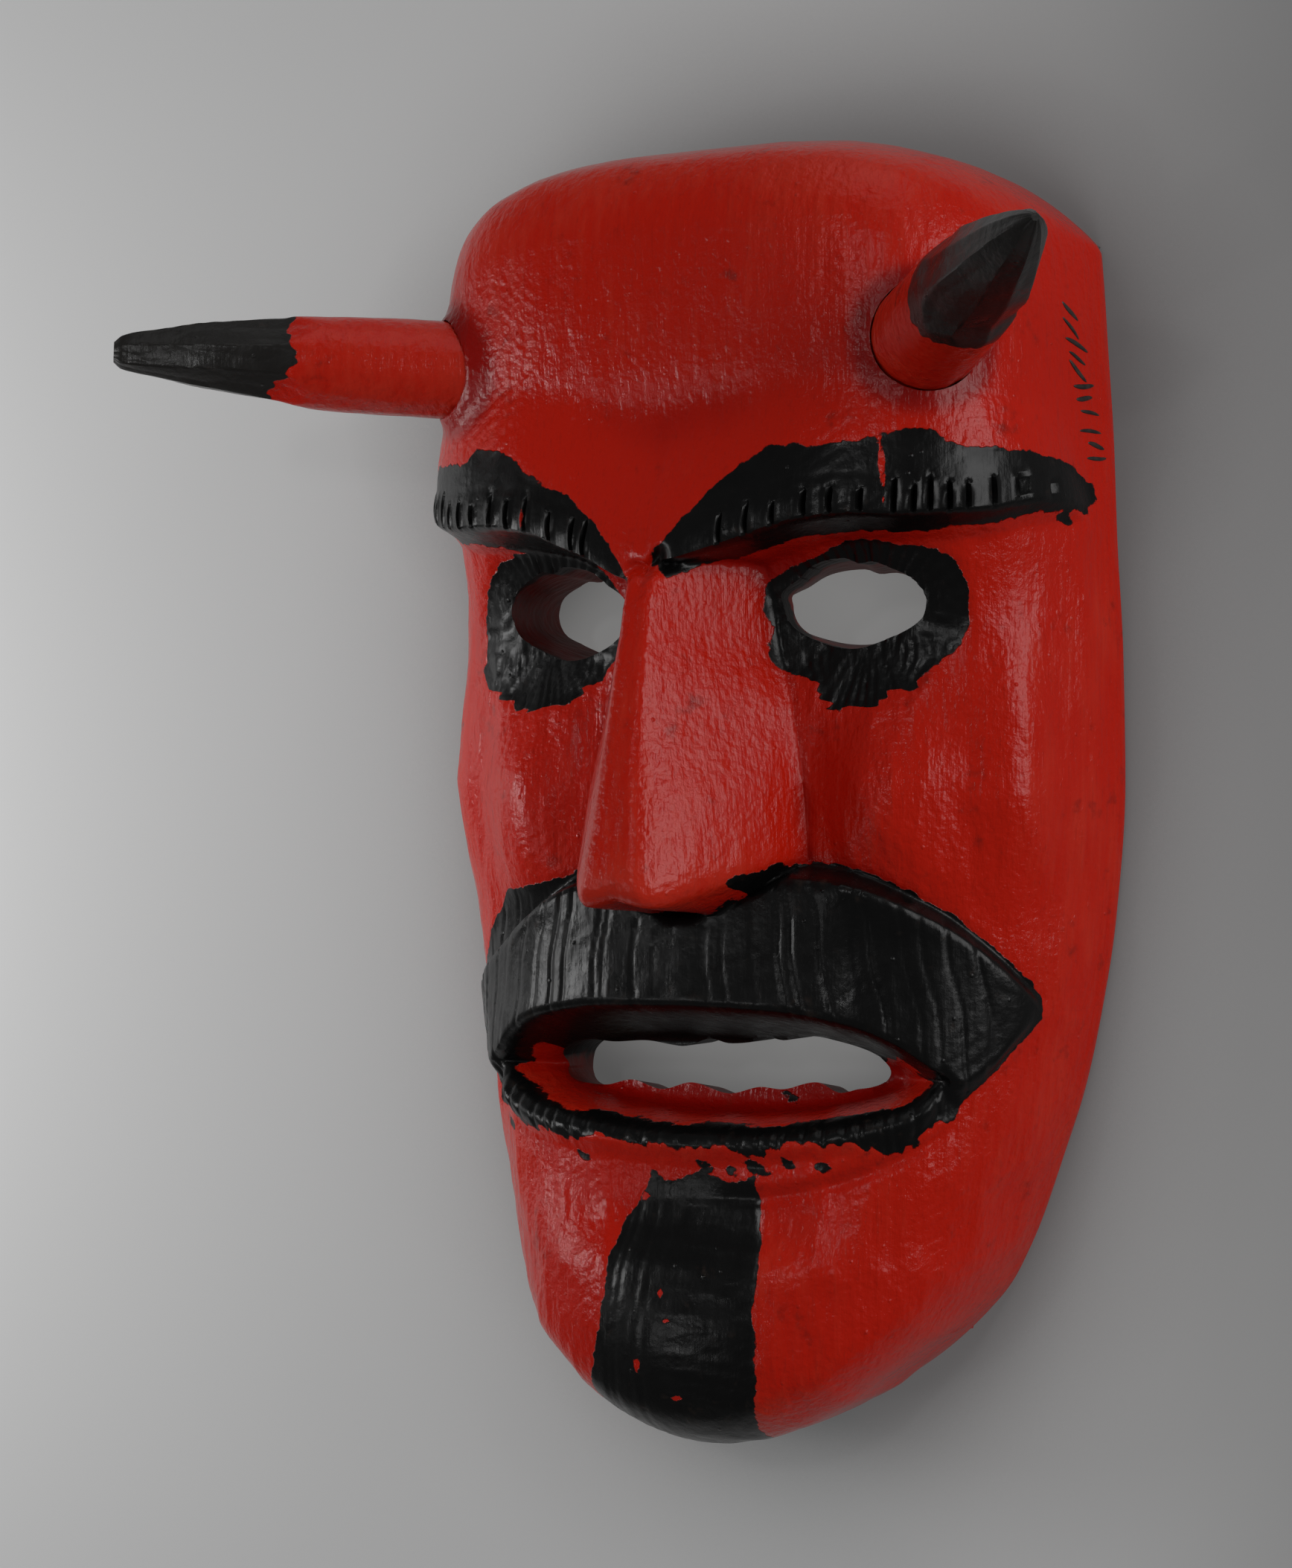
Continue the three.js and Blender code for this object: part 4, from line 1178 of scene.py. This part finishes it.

# %% [markdown]
# ## Paint
# The paint is a thick household oil paint, brushed on in more than one coat. It is glossy and wears thin on
# the edges, and the wood's long grain still shows through as fine ridges. The nodes build that from noise in
# real millimetres. They also darken the red in the cuts and recesses by each point's recess value, which is
# painted shade. The carved relief itself stays in the mesh.

# %% Helpers for materials


class Finish:
    """One procedural material, with short names for the nodes it is made from."""

    def __init__(self, name):
        self.material = bpy.data.materials.new(name)
        self.material.use_nodes = True
        self.tree = self.material.node_tree
        self.shader = self.tree.nodes["Principled BSDF"]
        self.place = self.add("TexCoord").outputs["Object"]

    def join(self, socket, value):
        if isinstance(value, bpy.types.NodeSocket):
            self.tree.links.new(value, socket)
        else:
            socket.default_value = value

    def add(self, kind, inputs=None, **settings):
        made = self.tree.nodes.new("ShaderNode" + kind)
        for name, value in settings.items():
            setattr(made, name, value)
        for name, value in (inputs or {}).items():
            self.join(made.inputs[name], value)
        return made

    def sum(self, a, b, operation="ADD"):
        return self.add("Math", {0: a, 1: b}, operation=operation).outputs[0]

    def times(self, a, b):
        return self.sum(a, b, "MULTIPLY")

    def step(self, value, start, end, low=0.0, high=1.0):
        """A soft step from low to high as the value goes from start to end."""
        limits = {"Value": value, "From Min": start, "From Max": end, "To Min": low, "To Max": high}
        return self.add("MapRange", limits, interpolation_type="SMOOTHSTEP").outputs["Result"]

    def noise(self, size, stretch=(1, 1, 1), detail=2):
        """Noise around zero, whose blotches are about size millimetres wide, times the stretch each way."""
        scale = [1 / (size * MM * share) for share in stretch]
        place = self.add("Mapping", {"Vector": self.place, "Scale": scale}).outputs[0]
        made = self.add("TexNoise", {"Vector": place, "Scale": 1.0, "Detail": detail})
        return self.sum(made.outputs["Fac"], -0.5)

    def specks(self, gap, size):
        """Round grains about gap millimetres apart: 1 on a grain, 0 between them."""
        place = self.add("Mapping", {"Vector": self.place, "Scale": [1 / (gap * MM)] * 3}).outputs[0]
        distance = self.add("TexVoronoi", {"Vector": place, "Scale": 1.0}).outputs["Distance"]
        return self.step(distance, 0, size / gap, 1.0, 0.0)

    def value(self, name):
        return self.add("Attribute", attribute_name=name).outputs["Fac"]

    def mix(self, share, first, second):
        made = self.add("Mix", {0: share}, data_type="RGBA")
        self.join(made.inputs[6], first)
        self.join(made.inputs[7], second)
        return made.outputs[2]

    def bump(self, height, millimetres, before=None):
        """Relief in the shading: the height times a depth in millimetres."""
        inputs = {"Height": height, "Distance": millimetres * MM, "Strength": 1.0}
        if before:
            inputs["Normal"] = before
        return self.add("Bump", inputs).outputs[0]

    def finish(self, **sockets):
        for name, value in sockets.items():
            self.join(self.shader.inputs[name.replace("_", " ")], value)
        return self.material


def colour(red, green, blue):
    return (red, green, blue, 1)


print("helpers ready")

# %% Red and black paint
RED = colour(0.5, 0.01, 0.002)
# Dark red: the painted shade in recesses, and the paint lapping over the rim.
RED_DEEP = colour(0.24, 0.002, 0.001)
STAIN = colour(0.2, 0.008, 0.004)
RED_WORN = colour(0.54, 0.028, 0.012)
BLACK = colour(0.003, 0.003, 0.003)
BLACK_WORN = colour(0.04, 0.026, 0.02)
BLACK_EDGE = 0.12  # half the width of the soft border of the black, in millimetres


def paint(name, black_colour):
    """Red and black paint. The piece says where the black is, in millimetres, in its value named black."""
    made = Finish(name)
    recess = made.value("recess")
    edge = made.sum(made.value("black"), made.times(made.noise(1.5), 1.3))
    edge = made.sum(edge, made.times(made.noise(5.5), 2.6))
    black_share = made.step(edge, -BLACK_EDGE, BLACK_EDGE)

    hairs = made.noise(0.45, (1, 14, 1), detail=2)
    streaks = made.noise(1.5, (1, 14, 1), detail=3)
    crinkles = made.noise(1.4, detail=5)
    clouds = made.noise(24, (1, 1.6, 1), detail=3)
    flecks = made.noise(2.6, detail=4)
    # Painted shade: the red darkens in recesses, and also in broad random patches from the clouds.
    deep = made.step(made.sum(recess, made.times(clouds, 1.2)), 0.05, 1.2)
    worn = made.sum(made.times(streaks, 0.7), made.times(clouds, 1.1))
    worn = made.sum(worn, made.times(recess, -0.25))
    red = made.mix(made.step(worn, 0.0, 0.5, high=0.75), RED, RED_WORN)
    red = made.mix(made.times(deep, 0.9), red, RED_DEEP)
    stained = made.sum(made.times(flecks, 1.2), made.times(made.noise(9, detail=2), 1.1))
    red = made.mix(made.step(stained, 0.18, 0.6, high=0.8), red, STAIN)
    red = made.mix(made.step(hairs, 0.05, 0.3, high=0.25), red, STAIN)
    worn_black = made.sum(made.times(flecks, 1.3), made.times(recess, -0.1))
    black_paint = made.mix(made.step(worn_black, 0.15, 0.75), black_colour, BLACK_WORN)

    brushed = made.noise(16, (1, 2.4, 1), detail=2)
    rough = made.sum(0.21, made.times(brushed, 0.25))
    rough = made.sum(rough, made.times(streaks, 0.1))
    gloss = made.sum(0.29, made.times(made.noise(4), 0.25))
    rough = made.add("Mix", {0: black_share, 2: rough, 3: gloss}).outputs[0]

    smoother = made.step(black_share, 0, 1, 1, 0.35)
    normal = made.bump(made.times(streaks, smoother), 0.14)
    normal = made.bump(made.times(hairs, smoother), 0.06, normal)
    normal = made.bump(made.times(crinkles, smoother), 0.26, normal)
    normal = made.bump(made.times(made.noise(3.2, (1, 3, 1)), smoother), 0.3, normal)
    normal = made.bump(made.specks(5, 0.5), 0.14, normal)
    normal = made.bump(black_share, 0.12, normal)
    base = made.mix(black_share, red, black_paint)
    return made.finish(Base_Color=base, Roughness=rough, Normal=normal, Specular_IOR_Level=0.2)


face_paint = paint("red_and_black_paint", BLACK)
print("paint nodes:", len(face_paint.node_tree.nodes))

# %% [markdown]
# ## Bare wood
# The back is never painted. It shows the light wood, darkened by hands and sweat, with grain that runs
# the length of the block. The walls of the holes are stained by the paint that ran into them.

# %% Bare wood
WOOD_LIGHT = colour(0.43, 0.27, 0.14)
WOOD_DARK = colour(0.2, 0.105, 0.045)
WALL_RED = colour(0.16, 0.006, 0.002)
WALL_DARK = colour(0.09, 0.012, 0.008)


def bare_wood(name, lap=False):
    """Raw carved wood, with the red lapping over its outer edge where asked."""
    made = Finish(name)
    rings = made.noise(5, (1, 22, 1), detail=3)
    fibres = made.noise(0.7, (1, 26, 1), detail=2)
    stains = made.noise(32, detail=3)
    tone = made.sum(made.times(rings, 1.5), made.times(fibres, 0.5))
    tone = made.sum(tone, made.times(stains, 1.3))
    base = made.mix(made.step(tone, -0.6, 0.7), WOOD_LIGHT, WOOD_DARK)
    if lap:
        face_map = made.add("UVMap", uv_map="face_map").outputs[0]
        across_rim = made.add("SeparateXYZ", {0: face_map}).outputs["Y"]
        ragged = made.sum(across_rim, made.times(made.noise(4, detail=3), 0.5))
        base = made.mix(made.step(ragged, 0.24, 0.32), RED_DEEP, base)
    normal = made.bump(fibres, 0.1)
    normal = made.bump(rings, 0.2, normal)
    rough = made.sum(0.68, made.times(fibres, 0.3))
    return made.finish(Base_Color=base, Roughness=rough, Normal=normal)


def hole_wall(name):
    """The cut wall of a hole. Paint ran in: black above the mouth and in front, red elsewhere."""
    made = Finish(name)
    place = made.add("SeparateXYZ", {0: made.place}).outputs
    ragged = made.sum(place["Z"], made.times(made.noise(3, detail=3), 0.006))
    uneven_y = made.sum(place["Y"], made.times(made.noise(4, detail=2), 0.004))
    slot_middle = (SLOT["y"] + MIDDLE_Y) * MM
    stained = made.mix(made.step(made.noise(4, detail=3), -0.2, 0.3), WALL_RED, WALL_DARK)
    front = made.step(ragged, 0.034, 0.0355)
    over_slot = made.step(uneven_y, slot_middle - 0.001, slot_middle + 0.001)
    over_slot = made.times(over_slot, made.step(place["Y"], 0, -0.001))
    base = made.mix(made.sum(front, over_slot, "MAXIMUM"), stained, BLACK)
    normal = made.bump(made.noise(1.2, (3, 3, 1)), 0.3)
    return made.finish(Base_Color=base, Roughness=0.55, Normal=normal)


finishes = (face_paint, bare_wood("hollow_wood"), bare_wood("rim_wood", lap=True), hole_wall("hole_wall"))
for finish in finishes:
    mask.data.materials.append(finish)
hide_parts("mask_face")
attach(mask, "root")
print("finishes on the face:", [finish.name for finish in mask.data.materials])

# %% [markdown]
# ## Horns
# Each horn is a whittled stick, round where it leaves the forehead and cut to facets towards the tip. A
# turned profile would be quicker, but it would leave no facets. Here a tube is drawn out by the horn's
# own curve of radii and then flattened by a few planes, the way a knife takes one shaving after another.

# %% Horns
# The horns' black is lighter than the face's: black paint with a painted sheen in its colour.
HORN_BLACK_AND_SHEEN = colour(0.014, 0.013, 0.012)
HORN_ROUND = 144
HORN_ALONG = 150


def whittled(horn, angle, along, knife):
    """The horn's radius at an angle and a distance from the forehead, after the knife."""
    radius = horn["radius"](along)
    cut = radius * (1 - 0.02 * np.sin(2 * angle + along / 17))
    start = rise(along, horn["facets_from"] - 3, horn["facets_from"] + 5)
    for facing, shift, depth in knife:
        flat = 1 - start * (0.12 + 0.05 * np.sin(along / 11 + shift) * depth)
        near = np.cos(angle - facing - 0.12 * np.sin(along / 9 + shift))
        cut = np.where(near > 0.55, np.minimum(cut, radius * flat / np.maximum(near, 0.55)), cut)
    return cut - 0.12 * scoops(angle * 10, along, 5, 9, 41)


def whittle(name, horn, seed):
    shape = bmesh.new()
    add_tube(shape, HORN_ROUND, HORN_ALONG)
    places = np.array([vert.co for vert in shape.verts])
    angle = np.arctan2(places[:, 1], places[:, 0])
    share = (places[:, 2] + 1) / 2
    along = -HORN_PEG + (1 - (1 - share) ** 1.4) * (horn["length"] + HORN_PEG)
    random = np.random.default_rng(seed)
    facings = np.arange(8) * math.tau / 8 + random.uniform(-0.25, 0.25, 8)
    knife = list(zip(facings, random.uniform(0, 6, 8), random.uniform(0.5, 1, 8)))
    radius = whittled(horn, angle, along, knife)
    turned = horn_place(horn)
    for vert, a, s, r in zip(shape.verts, angle, along, radius):
        vert.co = turned @ (Vector((r * math.cos(a), r * math.sin(a), s)) * MM)
    made = linked_object(shape, name + "_whittled")
    mesh = made.data
    ragged = 1.4 * np.sin(3 * angle + seed) + 1.3 * gouged_lines(angle * 10, 3.6, 1.8, seed)
    leaning = horn["black_lean"] * np.sin(angle)
    point_values(mesh, "black", along - horn["black_from"] + ragged + leaning)
    # The paint darkens the red where the knife cut below nine tenths of the radius, as in the face's
    # recesses.
    point_values(mesh, "recess", horn["radius"](along) * 0.9 - radius)
    mesh.shade_smooth()
    mesh.set_sharp_from_angle(angle=math.radians(28))
    mesh.materials.append(horn_paint)
    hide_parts(name)
    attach(made, "root")
    return made


horn_paint = paint("horn_red_and_black", HORN_BLACK_AND_SHEEN)
horns = [whittle(name, horn, seed) for seed, (name, horn) in enumerate(HORNS.items(), 2)]
print("horn faces:", [len(horn.data.polygons) for horn in horns])

# %% [markdown]
# ## Strokes on the temple
# A row of short raised strokes of thick black paint runs down the right temple. A bump in the paint would
# be simpler, but it would not catch the light along its edge. So each is a small sphere, squashed into a
# bead of paint and laid on the surface.

# %% Temple strokes
STROKES_FROM, STROKES_TO = (87.5, 88), (94, 61)
STROKE_SIZE = (3.4, 0.45, 0.3)
STROKE_COUNT = 11
grid_across, grid_out = across, outward(blurred(face_points, 3))


def surface_point(across, y):
    """The carved surface near a point: its place, the direction across and the direction out."""
    gap = np.where(shell[..., 2] > 0.5, np.hypot(grid_across - across, shell_y - y), 99)
    i, j = np.unravel_index(np.argmin(gap), gap.shape)
    sideways = Vector(face_points[i, j + 2] - face_points[i, j - 2]).normalized()
    return Vector(face_points[i, j]), sideways, Vector(grid_out[i, j])


strokes = bmesh.new()
random = np.random.default_rng(SEED + 5)
for number, share in enumerate(np.linspace(0, 1, STROKE_COUNT)):
    start, end = np.array(STROKES_FROM), np.array(STROKES_TO)
    place, sideways, out = surface_point(*(start + (end - start) * share))
    size = [value * random.uniform(0.8, 1.15) for value in STROKE_SIZE]
    made = bmesh.ops.create_uvsphere(strokes, u_segments=20, v_segments=12, radius=1)
    turn = Matrix((sideways, out.cross(sideways), out)).transposed()
    turn = turn @ Matrix.Rotation(random.uniform(-0.6, 0.35), 3, "Z")
    for vert in made["verts"]:
        along, wide, high = vert.co
        curl = 0.15 * math.sin(2 * along + number)
        bead = Vector((along * size[0], wide * size[1] + curl, high * size[2]))
        vert.co = in_frame(*(place + turn @ bead))
temple_strokes = linked_object(strokes, "temple_strokes")
temple_strokes.data.shade_smooth()


def thick_black(name):
    made = Finish(name)
    tone = made.step(made.noise(1.4, detail=3), -0.2, 0.3)
    base = made.mix(tone, BLACK, BLACK_WORN)
    rough = made.sum(0.4, made.times(made.noise(1), 0.3))
    normal = made.bump(made.noise(0.6), 0.06)
    return made.finish(Base_Color=base, Roughness=rough, Normal=normal, Coat_Weight=0.2)


temple_strokes.data.materials.append(thick_black("stroke_black"))
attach(temple_strokes, "root")
print("strokes, faces:", len(temple_strokes.data.polygons))

# %% [markdown]
# ## Studio
# A pale floor and six soft lights. A large one low on the right draws the bright streak down the
# cheek, a wide one beyond the crown and a small one on the left fill the shadows, and two small ones high
# in front give sparkle. The last lights the floor on the left. One big light overhead would be simpler,
# but it would flatten the facets. The world is an even, dim grey. The floor carries painted shade towards
# the upper right and a painted shadow beside the mask, and it glows with its own colour, which is painted
# light.

# %% Floor and lights
floor_shape = bmesh.new()
bmesh.ops.create_grid(floor_shape, x_segments=1, y_segments=1, size=4)
floor = linked_object(floor_shape, "floor")


def floor_with_painted_light(name):
    """Pale paper, painted shade to the upper right and beside the mask, and a glow of painted light."""
    made = Finish(name)
    place = made.add("SeparateXYZ", {0: made.place}).outputs
    across_picture = made.sum(made.times(place["X"], 0.95), made.times(place["Y"], 0.15))
    # Painted shade: the floor's colour darkens towards the upper right.
    lit = made.step(across_picture, 0.02, 0.165, 1, 0.44)
    from_middle = made.add("VectorMath", {0: made.place}, operation="LENGTH").outputs["Value"]
    open_sky = made.add("AmbientOcclusion", {"Distance": 0.06}).outputs["AO"]
    # Painted shadow beside the mask, where the mask shuts out the sky, weaker close to the middle.
    beside = made.times(made.step(open_sky, 0.55, 1, -0.6, 0), made.step(from_middle, 0.05, 0.07, 0.3, 1))
    lit = made.times(lit, made.sum(beside, 1))
    base = made.mix(lit, colour(0, 0, 0), colour(0.2, 0.2, 0.2))
    # The floor glows with its own colour: painted light, which carries the painted shade with it.
    return made.finish(Base_Color=base, Roughness=0.85, Emission_Color=base, Emission_Strength=1.0)


floor.data.materials.append(floor_with_painted_light("pale_floor_painted_shade_and_glow"))


def soft_light(name, place, target, size, power, spread=180):
    data = bpy.data.lights.new(name, "AREA")
    data.shape = "DISK"
    data.size = size
    data.energy = power
    data.spread = math.radians(spread)
    light = bpy.data.objects.new(name, data)
    light.location = place
    light.rotation_euler = (Vector(target) - Vector(place)).to_track_quat("-Z", "Y").to_euler()
    bpy.context.collection.objects.link(light)


target = in_frame(0, 0, 30)
soft_light("right_key", (1.22, 0.3, 0.3), target, 0.8, 7.4)
soft_light("left_fill", (-1.2, 0.1, 0.1), target, 0.4, 0.6)
soft_light("overhead", (0.3, 1.15, 0.45), target, 1.0, 1.8)
soft_light("front_left", (-0.52, -0.3, 1.04), target, 0.09, 0.5)
soft_light("front_top", (0.16, 0.24, 1.2), target, 0.09, 1.1)
soft_light("floor_light", (-0.42, 0, 0.3), (-0.36, 0, 0), 0.2, 1.2, 110)
world = bpy.data.worlds.new("studio")
world.use_nodes = True
world.node_tree.nodes["Background"].inputs["Color"].default_value = colour(0.5, 0.5, 0.5)
world.node_tree.nodes["Background"].inputs["Strength"].default_value = 0.27
bpy.context.scene.world = world
bpy.context.scene.view_settings.view_transform = "Standard"
print("lights:", [light.name for light in bpy.data.lights])
